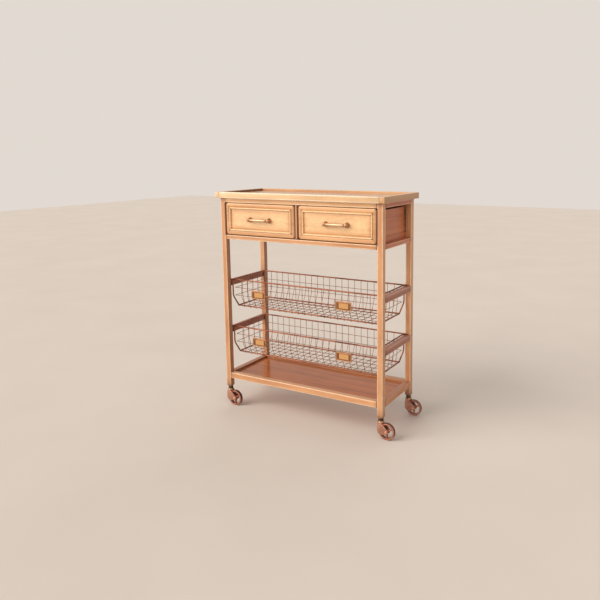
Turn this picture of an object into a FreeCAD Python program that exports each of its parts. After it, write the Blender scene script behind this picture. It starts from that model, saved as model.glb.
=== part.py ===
import FreeCAD, Part
import Sketcher
import math
import os
import re

# Kitchen trolley: four posts on swivel casters carry a rimmed tray, a case with two drawers side by
# side, two hanging wire baskets and a bottom shelf. Millimetres, +Z up, the drawers face -Y.

doc = FreeCAD.newDocument("kitchen_trolley")

# Driving sizes in millimetres, except counts. X and Y are taken from the trolley's own middle planes.
SIZES = (
    ("overall_height", 785, "floor to the top of the tray rim"),
    ("frame_width", 637, "across the outer faces of the posts"),
    ("frame_depth", 241, "from the front to the rear faces of the posts"),
    ("post_side", 20, "side of a square post, and thickness of the rails between posts"),
    ("post_bottom", 72, "floor to the lower end of a post"),
    ("edge_ease", 1.2, "flat planed on the long edges of posts, rails and rims"),
    ("foot_chamfer", 3, "chamfer round the lower end of a post"),
    ("rim_height", 20.5, "height of the tray rims"),
    ("rim_width", 18, "width of the tray rims"),
    ("tray_side_overhang", 12.5, "tray past the posts at each side"),
    ("tray_front_overhang", 14.5, "tray past the posts in front and behind"),
    ("tray_board", 12, "thickness of the tray floor"),
    ("upper_rail_height", 16, "height of the rails under the tray"),
    ("lower_rail_height", 15, "height of the rails under the drawers"),
    ("drawer_opening_height", 115, "clear height between the two front rails"),
    ("partition_width", 10, "width of the upright between the drawers"),
    ("runner_width", 10, "width of a drawer runner"),
    ("runner_rise", 20, "top of a runner above the lower front rail"),
    ("back_board", 8, "thickness of the case back"),
    ("back_inset", 4, "case back in from the rear faces of the posts"),
    ("front_gap", 1.5, "gap round a drawer front"),
    ("front_setback", 2, "drawer front in from the front faces of the posts"),
    ("front_thickness", 14, "drawer front, back face to outer band"),
    ("band_width", 14, "flat band round the edge of a drawer front"),
    ("bead_width", 8, "width of the raised bead"),
    ("bead_height", 3, "bead above the band"),
    ("bead_round", 2.7, "rounding of the bead"),
    ("field_recess", 2, "field below the band"),
    ("front_ease", 1.5, "flat on the outer edges of a drawer front"),
    ("drawer_board", 10, "thickness of drawer sides and backs"),
    ("drawer_rear_gap", 23.5, "rear end of the drawer sides to the case back"),
    ("drawer_side_height", 85, "height of the drawer sides"),
    ("run_gap", 0.3, "running gap over the runners and at the casters"),
    ("drawer_bottom", 4, "thickness of a drawer bottom"),
    ("bottom_rise", 6.5, "drawer bottom above the lower edges of the sides"),
    ("groove_depth", 4, "depth of the grooves that hold a drawer bottom"),
    ("pull_spacing", 80, "between the two feet of a pull"),
    ("pull_bar_diameter", 9, "diameter of a pull bar"),
    ("pull_reach", 12, "field of the front to the axis of the bar"),
    ("pull_foot_diameter", 18, "diameter of the two feet of a pull"),
    ("pull_foot_length", 16, "length of the two feet of a pull"),
    ("upper_basket_rail_top", 466, "floor to the top of the upper basket rails"),
    ("lower_basket_rail_top", 293, "floor to the top of the lower basket rails"),
    ("basket_rail_height", 20, "height of a basket rail"),
    ("frame_wire", 5, "diameter of the thick basket wires"),
    ("mesh_wire", 1.8, "side of the thin basket wires"),
    ("wire_end", 0.6, "ends of the thin floor wires past the bottom wires"),
    ("basket_side_gap", 0.5, "side rim wires to the rails"),
    ("basket_end_gap", 3, "front and back rim wires to the posts"),
    ("ear_length", 9, "ends of the long rim wires that rest on the rails"),
    ("knee_drop", 60.5, "rim wires to the bend of the walls"),
    ("basket_drop", 98, "rim wires to the bottom wires"),
    ("basket_side_taper", 9.5, "side rim wires to the side bottom wires, level"),
    ("basket_end_taper", 18, "front rim wire to the front bottom wire, level, and the same behind"),
    ("mesh_columns", 22, "spaces between thin wires along the basket"),
    ("mesh_rows", 5, "spaces between thin wires across the basket"),
    ("label_width", 60, "width of a label holder"),
    ("label_height", 30, "height of a label holder"),
    ("label_depth", 2.4, "thickness of a label holder"),
    ("label_front", 1.2, "thickness of its front face"),
    ("label_border", 11.5, "holder ends to the window"),
    ("label_band", 6, "holder top and bottom to the window"),
    ("label_lip", 3, "holder edge to the card slot"),
    ("label_corner", 3, "chamfer of the holder corners"),
    ("card_thickness", 0.6, "thickness of a card"),
    ("card_play", 0.3, "side play of a card in its slot"),
    ("label_left", 184, "middle of the basket to the left label holder"),
    ("label_right", 162, "middle of the basket to the right label holder"),
    ("label_drop", 49, "rim wires to the middle of a label holder"),
    ("shelf_rail_bottom", 104, "floor to the lower edges of the shelf rails"),
    ("shelf_rail_height", 21, "height of the shelf rails"),
    ("shelf_lip", 8, "shelf rails above the shelf floor"),
    ("shelf_board", 6, "thickness of the shelf floor"),
    ("cleat_width", 10, "width of the cleats under the shelf floor"),
    ("wheel_diameter", 56, "diameter of a caster wheel"),
    ("wheel_width", 13, "width of a wheel"),
    ("wheel_rim", 5.5, "thickness of the wheel rim"),
    ("hub_diameter", 16, "diameter of the wheel hub"),
    ("spoke_count", 3, "spokes in a wheel"),
    ("spoke_width", 5.5, "width of a spoke"),
    ("caster_trail", 21.5, "stem axis to wheel axle"),
    ("axle_diameter", 6, "diameter of the axle"),
    ("axle_head", 11, "corner to corner of the six-sided axle heads"),
    ("axle_head_height", 2, "height of the axle heads"),
    ("bearing_play", 0.05, "radial clearance of axles and stems"),
    ("fork_gap", 1.5, "fork cheek to wheel"),
    ("fork_plate", 2, "thickness of a fork cheek"),
    ("fork_clear", 2, "fork crown to the tread"),
    ("crown_radius", 10, "rounding of the fork at the stem"),
    ("crown_height", 48, "floor to the centre of that rounding"),
    ("boss_radius", 8, "rounding of the fork at the axle"),
    ("lobe_reach", 3, "stem axis to the centre of the cheek's lower rounding"),
    ("lobe_height", 30, "floor to the centre of that rounding"),
    ("lobe_radius", 13, "lower rounding of a cheek"),
    ("neck_diameter", 18, "diameter of the neck between collar and post"),
    ("stem_diameter", 12, "diameter of the caster stem"),
    ("stem_length", 30, "stem above the lower end of the post"),
    ("ring_diameter", 23, "diameter of the collar on the stem"),
    ("ring_bottom", 56, "floor to the collar"),
    ("ring_height", 3, "height of the collar"),
)

# Values that follow from the driving sizes.
DERIVED = (
    ("middle", "0 - (caster_trail + wheel_diameter / 2 - post_side / 2 - tray_side_overhang) / 2"),
    ("outer_x", "frame_width / 2"),
    ("outer_y", "frame_depth / 2"),
    ("inner_x", "frame_width / 2 - post_side"),
    ("inner_y", "frame_depth / 2 - post_side"),
    ("tray_x", "frame_width / 2 + tray_side_overhang"),
    ("tray_y", "frame_depth / 2 + tray_front_overhang"),
    ("case_top", "overall_height - rim_height"),
    ("opening_top", "case_top - upper_rail_height"),
    ("opening_bottom", "opening_top - drawer_opening_height"),
    ("case_bottom", "opening_bottom - lower_rail_height"),
    ("runner_top", "opening_bottom + runner_rise"),
    ("back_y", "outer_y - back_inset - back_board"),
    ("front_width", "inner_x - partition_width / 2 - 2 * front_gap"),
    ("front_height", "drawer_opening_height - 2 * front_gap"),
    ("front_y", "0 - outer_y + front_setback"),
    ("front_back_y", "front_y + front_thickness"),
    ("drawer_length", "back_y - drawer_rear_gap - front_back_y"),
    ("drawer_x", "partition_width / 2 + front_gap"),
    ("side_bottom", "runner_top + run_gap"),
    ("field_y", "front_y + field_recess"),
    ("pull_z", "opening_bottom + drawer_opening_height / 2"),
    ("wire_radius", "frame_wire / 2"),
    ("rim_half_width", "inner_x - basket_side_gap - wire_radius"),
    ("rim_half_depth", "inner_y - basket_end_gap - wire_radius"),
    ("bottom_half_width", "rim_half_width - basket_side_taper"),
    ("bottom_half_depth", "rim_half_depth - basket_end_taper"),
    ("shelf_top", "shelf_rail_bottom + shelf_rail_height - shelf_lip"),
    ("stem_x", "outer_x - post_side / 2"),
    ("stem_y", "outer_y - post_side / 2"),
    ("wheel_radius", "wheel_diameter / 2"),
    ("fork_half", "wheel_width / 2 + fork_gap + fork_plate"),
    ("slot_radius", "wheel_radius + fork_clear"),
    ("slot_half_width", "wheel_width / 2 + fork_gap"),
    ("crown_rise", "crown_height - wheel_radius"),
    ("fork_run", "sqrt(caster_trail * caster_trail + crown_rise * crown_rise)"),
    ("wire_corner", "wire_radius * sqrt(4 - 2 * sqrt(2))"),
)

sheet = doc.addObject("Spreadsheet::Sheet", "Sizes")
owner = {}
for row, (alias, value, note) in enumerate(SIZES, start=1):
    sheet.set(f"A{row}", note)
    sheet.set(f"B{row}", str(value))
    sheet.setAlias(f"B{row}", alias)
    owner[alias] = "Sizes"
doc.recompute()


def formula(text):
    """Put the owning table's name before every alias in a formula."""
    return re.sub(r"[a-z]\w*\b(?!\()", lambda word: f"{owner[word.group()]}.{word.group()}", text)


derived = doc.addObject("App::VarSet", "Derived")
for alias, text in DERIVED:
    derived.addProperty("App::PropertyFloat", alias, "Derived")
    derived.setExpression(alias, formula(text))
    owner[alias] = "Derived"
derived.addProperty("App::PropertyFloat", "reading", "Derived")
doc.recompute()


def number(text):
    """The present value of a formula, for shapes that are worked out point by point."""
    derived.setExpression("reading", formula(text))
    derived.recompute()
    return derived.reading


def bind(thing, **formulas):
    """Tie properties of an object to formulas."""
    for name, text in formulas.items():
        thing.setExpression(name, formula(text))


def place(thing, x, y, z):
    """Tie an object's position to formulas; its turn stays as it is."""
    for axis, text in zip("xyz", (x, y, z)):
        thing.setExpression(f"Placement.Base.{axis}", formula(text))


UNTURNED = FreeCAD.Rotation()
ALONG_X = FreeCAD.Rotation(FreeCAD.Vector(0, 1, 0), 90)
ALONG_Y = FreeCAD.Rotation(FreeCAD.Vector(1, 0, 0), -90)
UPRIGHT = FreeCAD.Rotation(FreeCAD.Vector(1, 0, 0), 90)

# Edges are picked by where their ends lie, to this many millimetres, or by their heading, to this share.
CLOSE = 0.01
NEARLY_ALL = 0.99
nodes = []


def keep(thing):
    """Note an object as one of the trolley's pieces."""
    nodes.append(thing)
    return thing


def turned(thing, rotation):
    """Give an object its turn before its position is tied."""
    thing.Placement = FreeCAD.Placement(FreeCAD.Vector(), rotation)
    return thing


def new_body(label):
    """An empty body for one piece."""
    return doc.addObject("PartDesign::Body", label)


def feature(body, kind, tail):
    """A feature named after its body."""
    return body.newObject(f"PartDesign::{kind}", f"{body.Name}_{tail}")


def block(body, kind, tail, low, size):
    """An additive or subtractive box from its low corner and its three sizes."""
    box = feature(body, kind, tail)
    bind(box, Length=size[0], Width=size[1], Height=size[2])
    place(box, *low)
    return box


def round_bar(body, kind, tail, radius, length, start, rotation):
    """An additive or subtractive cylinder from its start point."""
    rod = turned(feature(body, kind, tail), rotation)
    bind(rod, Radius=radius, Height=length)
    place(rod, *start)
    return rod


def prism(body, kind, tail, sides, radius, length, start, rotation):
    """An additive or subtractive bar with flat sides from its start point."""
    rod = turned(feature(body, kind, tail), rotation)
    rod.Polygon = sides
    bind(rod, Circumradius=radius, Height=length)
    place(rod, *start)
    return rod


def edges_where(shape, test):
    """Names of the edges whose end points all pass a test."""
    names = []
    for index, edge in enumerate(shape.Edges, start=1):
        if test([vertex.Point for vertex in edge.Vertexes]):
            names.append(f"Edge{index}")
    return names


def dressed(body, kind, tail, base, test, **formulas):
    """A chamfer or fillet on the edges of a feature that pass a test."""
    doc.recompute()
    dress = feature(body, kind, tail)
    dress.Base = (base, edges_where(base.Shape, test))
    bind(dress, **formulas)
    return dress


def runs_along(axis):
    """A test for straight edges that run along one axis."""
    def test(points):
        run = points[-1] - points[0]
        return abs(run[axis]) > NEARLY_ALL * run.Length
    return test


def board(label, low, size):
    """A plain board from its low corner and its three sizes."""
    box = doc.addObject("Part::Box", label)
    bind(box, Length=size[0], Width=size[1], Height=size[2])
    place(box, *low)
    return box


def bar(label, low, size, grain):
    """A planed bar: the four edges along its grain are eased."""
    body = new_body(label)
    blank = block(body, "AdditiveBox", "blank", ("0", "0", "0"), size)
    dressed(body, "Chamfer", "eased", blank, runs_along(grain), Size="edge_ease")
    place(body, *low)
    return body


def origin_plane(body, role):
    """One of a body's own origin planes or axes."""
    return next(item for item in body.Origin.OriginFeatures if item.Role == role)


def sketch_on(body, tail, role):
    """A sketch attached to one of the body's own origin planes."""
    sketch = body.newObject("Sketcher::SketchObject", f"{body.Name}_{tail}")
    sketch.AttachmentSupport = (origin_plane(body, role), [""])
    sketch.MapMode = "FlatFace"
    return sketch


def fix_point(sketch, geometry, end, across, up):
    """Dimension one point from the sketch origin by two formulas."""
    for kind, text in (("DistanceX", across), ("DistanceY", up)):
        constraint = sketch.addConstraint(Sketcher.Constraint(kind, geometry, end, number(text)))
        sketch.setExpression(f"Constraints[{constraint}]", formula(text))


def group(label, things):
    """Equal or paired pieces kept together as separate solids."""
    compound = doc.addObject("Part::Compound", label)
    compound.Links = things
    return compound


# Small turned details that repeat have flat sides.
TURNED_SIDES = 12
FOOT_SIDES = 16
RIM_SIDES = 24
HEAD_SIDES = 6
LOBE_SIDES = 5
BOSS_SIDES = 6
SIDES = (("left", -1), ("right", 1))
ENDS = (("front", -1), ("rear", 1))


def low_x(side, near, far):
    """Low X of a piece that spans near to far from the middle, on the left (-1) or right (1)."""
    return f"middle + {near}" if side > 0 else f"middle - ({far})"


def low_y(end, near, far):
    """Low Y of a piece that spans near to far from the middle, in front (-1) or behind (1)."""
    return near if end > 0 else f"0 - ({far})"


# Posts: the lower end is chamfered and bored for the caster stem.
def post(end_name, end, side_name, side):
    body = new_body(f"post_{end_name}_{side_name}")
    height = "case_top - post_bottom"
    blank = block(body, "AdditiveBox", "blank", ("0", "0", "0"), ("post_side", "post_side", height))
    foot = dressed(body, "Chamfer", "foot", blank,
                   lambda points: all(point.z < CLOSE for point in points), Size="foot_chamfer")
    dressed(body, "Chamfer", "eased", foot, runs_along(2), Size="edge_ease")
    round_bar(body, "SubtractiveCylinder", "bore", "stem_diameter / 2 + bearing_play", "stem_length",
              ("post_side / 2", "post_side / 2", "0"), UNTURNED)
    place(body, low_x(side, "inner_x", "outer_x"), low_y(end, "inner_y", "outer_y"), "post_bottom")
    keep(body)


for end_name, end in ENDS:
    for side_name, side in SIDES:
        post(end_name, end, side_name, side)

# Tray: a floor board between four rims; the side rims run the full depth.
keep(board("tray_floor", ("middle - tray_x + rim_width", "rim_width - tray_y", "case_top"),
           ("2 * (tray_x - rim_width)", "2 * (tray_y - rim_width)", "tray_board")))
for side_name, side in SIDES:
    keep(bar(f"tray_rim_{side_name}",
             (low_x(side, "tray_x - rim_width", "tray_x"), "0 - tray_y", "case_top"),
             ("rim_width", "2 * tray_y", "rim_height"), 1))
for end_name, end in ENDS:
    keep(bar(f"tray_rim_{end_name}",
             ("middle - tray_x + rim_width", low_y(end, "tray_y - rim_width", "tray_y"), "case_top"),
             ("2 * (tray_x - rim_width)", "rim_width", "rim_height"), 0))

# Drawer case: rails between the posts, a back board, the partition and four runners.
for level, bottom, height in (("upper", "opening_top", "upper_rail_height"),
                              ("lower", "case_bottom", "lower_rail_height")):
    keep(bar(f"case_rail_front_{level}", ("middle - inner_x", "0 - outer_y", bottom),
             ("2 * inner_x", "post_side", height), 0))
    for side_name, side in SIDES:
        keep(bar(f"case_rail_{side_name}_{level}",
                 (low_x(side, "inner_x", "outer_x"), "0 - inner_y", bottom),
                 ("post_side", "2 * inner_y", height), 1))
keep(board("case_back", ("middle - inner_x", "back_y", "case_bottom"),
           ("2 * inner_x", "back_board", "case_top - case_bottom")))
keep(board("drawer_partition", ("middle - partition_width / 2", "0 - outer_y", "opening_bottom"),
           ("partition_width", "back_y + outer_y", "drawer_opening_height")))
runners = []
for side_name, side in SIDES:
    for place_name, near in (("outer", "inner_x - runner_width"), ("inner", "partition_width / 2")):
        low = (low_x(side, near, f"{near} + runner_width"), "0 - inner_y", "case_bottom")
        runners.append(board(f"runner_{side_name}_{place_name}", low,
                             ("runner_width", "back_y + inner_y", "runner_top - case_bottom")))
keep(group("drawer_runners", runners))


# Drawers: a moulded front, two grooved sides, a back, a bottom and a bar pull.
def drawer_front(name, low):
    body = new_body(f"drawer_{name}_front")
    inset = "band_width + bead_width"
    block(body, "AdditiveBox", "board", ("0", "0", "0"),
          ("front_width", "front_thickness", "front_height"))
    block(body, "AdditiveBox", "bead", ("band_width", "0 - bead_height", "band_width"),
          ("front_width - 2 * band_width", "bead_height + front_thickness",
           "front_height - 2 * band_width"))
    field = block(body, "SubtractiveBox", "field", (inset, "0 - 2 * bead_height", inset),
                  (f"front_width - 2 * ({inset})", "2 * bead_height + field_recess",
                   f"front_height - 2 * ({inset})"))
    crest = number("bead_height")
    moulded = dressed(body, "Fillet", "moulding", field,
                      lambda points: all(point.y < CLOSE - crest for point in points), Radius="bead_round")
    margin = number("band_width") / 2
    width = number("front_width")
    height = number("front_height")

    def on_border(points):
        return all(abs(point.y) < CLOSE and not (margin < point.x < width - margin
                                                and margin < point.z < height - margin) for point in points)
    dressed(body, "Chamfer", "eased", moulded, on_border, Size="front_ease")
    place(body, *low)
    keep(body)


def drawer_side(name, tail, low, groove_x):
    blank = board(f"drawer_{name}_{tail}_blank", low,
                  ("drawer_board", "drawer_length", "drawer_side_height"))
    groove = board(f"drawer_{name}_{tail}_groove", (groove_x, low[1], "side_bottom + bottom_rise"),
                   ("groove_depth", "drawer_length", "drawer_bottom"))
    side = doc.addObject("Part::Cut", f"drawer_{name}_{tail}")
    side.Base = blank
    side.Tool = groove
    return side


def pull(name, middle_x):
    body = new_body(f"drawer_{name}_pull")
    for tail, start in (("left", "0 - pull_spacing / 2"), ("right", "pull_spacing / 2")):
        prism(body, "AdditivePrism", f"foot_{tail}", FOOT_SIDES, "pull_foot_diameter / 2",
              "pull_foot_length", (start, "0", "0"), UPRIGHT)
    prism(body, "AdditivePrism", "bar", TURNED_SIDES, "pull_bar_diameter / 2", "pull_spacing",
          ("0 - pull_spacing / 2", "0 - pull_reach", "0"), ALONG_X)
    place(body, middle_x, "field_y", "pull_z")
    keep(body)


for name, side in SIDES:
    low = low_x(side, "drawer_x", "drawer_x + front_width")
    high = f"{low} + front_width"
    centre = f"{low} + front_width / 2"
    drawer_front(name, (low, "front_y", "opening_bottom + front_gap"))
    keep(group(f"drawer_{name}_sides", [
        drawer_side(name, "side_left", (low, "front_back_y", "side_bottom"),
                    f"{low} + drawer_board - groove_depth"),
        drawer_side(name, "side_right", (f"{high} - drawer_board", "front_back_y", "side_bottom"),
                    f"{high} - drawer_board")]))
    keep(board(f"drawer_{name}_bottom",
               (f"{low} + drawer_board - groove_depth", "front_back_y", "side_bottom + bottom_rise"),
               ("front_width - 2 * (drawer_board - groove_depth)", "drawer_length", "drawer_bottom")))
    keep(board(f"drawer_{name}_back",
               (f"{low} + drawer_board", "front_back_y + drawer_length - drawer_board",
                "side_bottom + bottom_rise + drawer_bottom"),
               ("front_width - 2 * drawer_board", "drawer_board",
                "drawer_side_height - bottom_rise - drawer_bottom")))
    pull(name, centre)


# Basket rails: bars between the posts at two levels.
LEVELS = (("upper", "upper_basket_rail_top"), ("lower", "lower_basket_rail_top"))
for level, top in LEVELS:
    for side_name, side in SIDES:
        keep(bar(f"basket_rail_{level}_{side_name}",
                 (low_x(side, "inner_x", "outer_x"), "0 - inner_y", f"{top} - basket_rail_height"),
                 ("post_side", "2 * inner_y", "basket_rail_height"), 1))


# Baskets: thick wires at the rim, corners and bottom; the long rim wires rest on the rails by their ends.
# The wires repeat often, so each has eight flat sides, with one of them level.
WIRE_SIDES = 8
FLAT_DOWN = FreeCAD.Rotation(FreeCAD.Vector(0, 0, 1), 180 / WIRE_SIDES)


def rod(label, length, start, rotation):
    """A straight thick wire."""
    wire = turned(doc.addObject("Part::Prism", label), rotation * FLAT_DOWN)
    wire.Polygon = WIRE_SIDES
    bind(wire, Circumradius="wire_corner", Height=length)
    place(wire, *start)
    return wire


def corner_wire(label, stations):
    """A bent thick wire: level sections joined by straight runs."""
    sections = []
    for index, station in enumerate(stations):
        section = turned(doc.addObject("Part::RegularPolygon", f"{label}_section_{index}"), FLAT_DOWN)
        section.Polygon = WIRE_SIDES
        bind(section, Circumradius="wire_corner")
        place(section, *station)
        sections.append(section)
    wire = doc.addObject("Part::Loft", label)
    wire.Sections = sections
    wire.Solid = True
    wire.Ruled = True
    return wire


def basket_frame(level, rim):
    wires = []
    bottom = f"{rim} - basket_drop"
    for end_name, end in ENDS:
        sign = "" if end > 0 else "0 -"
        wires.append(rod(f"{level}_rim_{end_name}", "2 * (inner_x + ear_length)",
                         ("middle - inner_x - ear_length", f"{sign} rim_half_depth", rim), ALONG_X))
        wires.append(rod(f"{level}_bottom_{end_name}", "2 * (bottom_half_width + wire_radius)",
                         ("middle - bottom_half_width - wire_radius", f"{sign} bottom_half_depth", bottom),
                         ALONG_X))
    for side_name, side in SIDES:
        sign = "+" if side > 0 else "-"
        wires.append(rod(f"{level}_rim_{side_name}", "2 * (rim_half_depth - wire_radius)",
                         (f"middle {sign} rim_half_width", "wire_radius - rim_half_depth", rim), ALONG_Y))
        wires.append(rod(f"{level}_bottom_{side_name}", "2 * (bottom_half_depth - wire_radius)",
                         (f"middle {sign} bottom_half_width", "wire_radius - bottom_half_depth", bottom),
                         ALONG_Y))
        for end_name, end in ENDS:
            end_sign = "" if end > 0 else "0 -"
            outer = (f"middle {sign} rim_half_width", f"{end_sign} rim_half_depth")
            inner = (f"middle {sign} bottom_half_width", f"{end_sign} bottom_half_depth")
            wires.append(corner_wire(f"{level}_corner_{end_name}_{side_name}", (
                outer + (f"{rim} - wire_radius",), outer + (f"{rim} - knee_drop",),
                inner + (f"{bottom} + wire_radius",))))
    keep(group(f"{level}_basket_frame", wires))


def wall_wire(wire, top, knee, foot, along, normal, position):
    """One thin wall wire: straight down to the bend, then sloping to the bottom wire."""
    slope = (knee[0] - foot[0]) / (knee[1] - foot[1])
    thick = wire * math.hypot(1, slope)
    inner_knee = foot[1] + (knee[0] - wire - foot[0] + thick) / slope
    profile = (top, knee, foot, (foot[0] - thick, foot[1]), (knee[0] - wire, inner_knee),
               (top[0] - wire, top[1]))
    start = along * (position - wire / 2)
    points = [start + normal * out + FreeCAD.Vector(0, 0, up) for out, up in profile]
    return Part.Face(Part.makePolygon(points + points[:1])).extrude(along * wire)


def wall_bar(wire, out, up, along, normal, half):
    """One thin level wire on the inner faces of the wall wires."""
    low = normal * (out - wire) + FreeCAD.Vector(0, 0, up)
    points = [low, low + normal * wire, low + normal * wire + FreeCAD.Vector(0, 0, wire),
              low + FreeCAD.Vector(0, 0, wire)]
    points = [point - along * half for point in points]
    return Part.Face(Part.makePolygon(points + points[:1])).extrude(along * 2 * half)


def spread(count, half):
    """Even positions between two ends, without the ends."""
    return [half * (2 * step / count - 1) for step in range(1, count)]


def welded(wires):
    """Crossing thin wires that touch face to face, joined to one solid."""
    return wires[0].fuse(wires[1:]).removeSplitter()


def basket_mesh(level, rim):
    """Thin wires on four walls and the floor, about the basket's middle.

    Side by side wires are one solid with one wire across them; further cross wires lie against them.
    """
    wire = number("mesh_wire")
    radius = number("wire_radius")
    knee_up = 0 - number("knee_drop")
    bottom_up = 0 - number("basket_drop")
    columns = spread(int(number("mesh_columns")), number("bottom_half_width"))
    rows = spread(int(number("mesh_rows")), number("bottom_half_depth"))
    along_x = FreeCAD.Vector(1, 0, 0)
    along_y = FreeCAD.Vector(0, 1, 0)
    end_out = number("rim_half_depth") - radius
    side_out = number("rim_half_width") - radius
    levels = (knee_up + wire, knee_up / 2)
    long_bar = side_out - 2 * wire - wire / 2
    short_bar = end_out - wire
    walls = []
    for out, foot_out, along, direction, places, half in (
            (end_out, number("bottom_half_depth"), along_x, along_y, columns, long_bar),
            (side_out, number("bottom_half_width"), along_y, along_x, rows, short_bar)):
        top = (out, 0)
        knee = (out, knee_up)
        foot = (foot_out, bottom_up + radius)
        for sign in (-1, 1):
            normal = direction * sign
            wires = [wall_wire(wire, top, knee, foot, along, normal, spot) for spot in places]
            bars = [wall_bar(wire, out - wire, up, along, normal, half) for up in levels]
            walls += [welded(wires + bars[:1])] + bars[1:]
    floor_top = bottom_up - radius
    reach_y = number("bottom_half_depth + wire_radius + wire_end")
    under = floor_top - wire
    wires = [Part.makeBox(wire, 2 * reach_y, wire, FreeCAD.Vector(spot - wire / 2, -reach_y, under))
             for spot in columns]
    reach_x = number("bottom_half_width") - radius
    bars = [Part.makeBox(2 * reach_x, wire, wire, FreeCAD.Vector(-reach_x, spot - wire / 2, floor_top))
            for spot in rows]
    centre = len(bars) // 2
    walls += [welded(wires + bars[centre:centre + 1])] + bars[:centre] + bars[centre + 1:]
    mesh = doc.addObject("Part::Feature", f"{level}_basket_mesh")
    mesh.Shape = Part.makeCompound(walls)
    place(mesh, "middle", "0", rim)
    keep(mesh)


def label_holder(label, low):
    """A card holder: a windowed face with a card slot behind it that is open at the top."""
    body = new_body(label)
    plate = block(body, "AdditiveBox", "plate", ("0", "0", "0"),
                  ("label_width", "label_depth", "label_height"))
    dressed(body, "Chamfer", "corners", plate, runs_along(1), Size="label_corner")
    block(body, "SubtractiveBox", "window", ("label_border", "0 - label_depth", "label_band"),
          ("label_width - 2 * label_border", "3 * label_depth", "label_height - 2 * label_band"))
    block(body, "SubtractiveBox", "slot", ("label_lip", "label_front", "label_lip"),
          ("label_width - 2 * label_lip", "label_depth", "label_height"))
    place(body, *low)
    return body


for level, top in LEVELS:
    basket_frame(level, f"{top} + wire_radius")
    basket_mesh(level, f"{top} + wire_radius")

holders = []
cards = []
label_y = "wire_radius - rim_half_depth - label_depth"
for level, top in LEVELS:
    for side_name, offset in (("left", "0 - label_left"), ("right", "label_right")):
        low = (f"middle + {offset} - label_width / 2", label_y,
               f"{top} + wire_radius - label_drop - label_height / 2")
        holders.append(label_holder(f"{level}_label_holder_{side_name}", low))
        cards.append(board(f"{level}_card_{side_name}",
                           (f"{low[0]} + label_lip + card_play", f"{label_y} + label_front",
                            f"{low[2]} + label_lip"),
                           ("label_width - 2 * (label_lip + card_play)", "card_thickness",
                            "label_height - label_lip")))
keep(group("label_holders", holders))
keep(group("label_cards", cards))

# Bottom shelf: four rails between the posts stand above a floor panel on two cleats.
for end_name, end in ENDS:
    keep(bar(f"shelf_rail_{end_name}",
             ("middle - inner_x", low_y(end, "inner_y", "outer_y"), "shelf_rail_bottom"),
             ("2 * inner_x", "post_side", "shelf_rail_height"), 0))
for side_name, side in SIDES:
    keep(bar(f"shelf_rail_{side_name}",
             (low_x(side, "inner_x", "outer_x"), "0 - inner_y", "shelf_rail_bottom"),
             ("post_side", "2 * inner_y", "shelf_rail_height"), 1))
keep(board("shelf_floor", ("middle - inner_x", "0 - inner_y", "shelf_top - shelf_board"),
           ("2 * inner_x", "2 * inner_y", "shelf_board")))
keep(group("shelf_cleats", [
    board(f"shelf_cleat_{end_name}",
          ("middle - inner_x", low_y(end, "inner_y - cleat_width", "inner_y"), "shelf_rail_bottom"),
          ("2 * inner_x", "cleat_width", "shelf_rail_height - shelf_lip - shelf_board"))
    for end_name, end in ENDS]))


# Casters: a fork with its fixed axle turns by its stem in the post and carries a spoked wheel.
def fork_heading():
    """The direction from the fork's crown down to the axle, in radians."""
    return math.atan2(0 - number("crown_rise"), number("caster_trail"))


def cheek_outline(sketch):
    """The outline of a fork cheek: a round crown, a lobe and a boss with short flats, and tangents."""
    crown = (FreeCAD.Vector(0, number("crown_height"), 0), number("crown_radius"))
    lobe = (FreeCAD.Vector(number("lobe_reach"), number("lobe_height"), 0), number("lobe_radius"))
    boss = (FreeCAD.Vector(number("caster_trail"), number("wheel_radius"), 0), number("boss_radius"))

    def leaving(first, second):
        """The outward bearing of the tangent that goes anticlockwise from one rounding to the next."""
        run = second[0] - first[0]
        return math.atan2(run.y, run.x) - math.acos((first[1] - second[1]) / run.Length)

    def at(rounding, angle):
        centre, radius = rounding
        return centre + FreeCAD.Vector(radius * math.cos(angle), radius * math.sin(angle), 0)

    def short_flats(begin, end, flats):
        return [begin + (end - begin) * step / flats for step in range(flats + 1)]
    to_lobe = leaving(crown, lobe)
    to_boss = leaving(lobe, boss)
    to_crown = leaving(boss, crown)
    lobe_angles = short_flats(to_lobe, to_boss, LOBE_SIDES)
    boss_angles = short_flats(to_boss, to_crown, BOSS_SIDES)
    round_crown = Part.Circle(crown[0], FreeCAD.Vector(0, 0, 1), crown[1])
    outline = [Part.ArcOfCircle(round_crown, to_crown, to_lobe + 2 * math.pi)]
    corners = [at(crown, to_lobe)]
    corners += [at(lobe, angle) for angle in lobe_angles]
    corners += [at(boss, angle) for angle in boss_angles]
    corners += [at(crown, to_crown)]
    outline += [Part.LineSegment(first, second) for first, second in zip(corners, corners[1:])]
    for curve in outline:
        sketch.addGeometry(curve, False)
    last = len(outline) - 1
    sketch.addConstraint(Sketcher.Constraint("Tangent", 0, 2, 1, 1))
    sketch.addConstraint(Sketcher.Constraint("Tangent", last, 2, 0, 1))
    for first in range(1, last):
        sketch.addConstraint(Sketcher.Constraint("Coincident", first, 2, first + 1, 1))
    size = sketch.addConstraint(Sketcher.Constraint("Radius", 0, crown[1]))
    sketch.setExpression(f"Constraints[{size}]", formula("crown_radius"))
    sketch.addConstraint(Sketcher.Constraint("PointOnObject", 0, 3, -2))
    lift = sketch.addConstraint(Sketcher.Constraint("DistanceY", 0, 3, crown[0].y))
    sketch.setExpression(f"Constraints[{lift}]", formula("crown_height"))
    places = [("lobe_reach", "lobe_height", "lobe_radius", angle) for angle in lobe_angles]
    places += [("caster_trail", "wheel_radius", "boss_radius", angle) for angle in boss_angles]
    for index, (across, up, radius, angle) in enumerate(places, start=1):
        fix_point(sketch, index, 2, f"{across} + {radius} * ({math.cos(angle):.6f})",
                  f"{up} + {radius} * ({math.sin(angle):.6f})")


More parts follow.
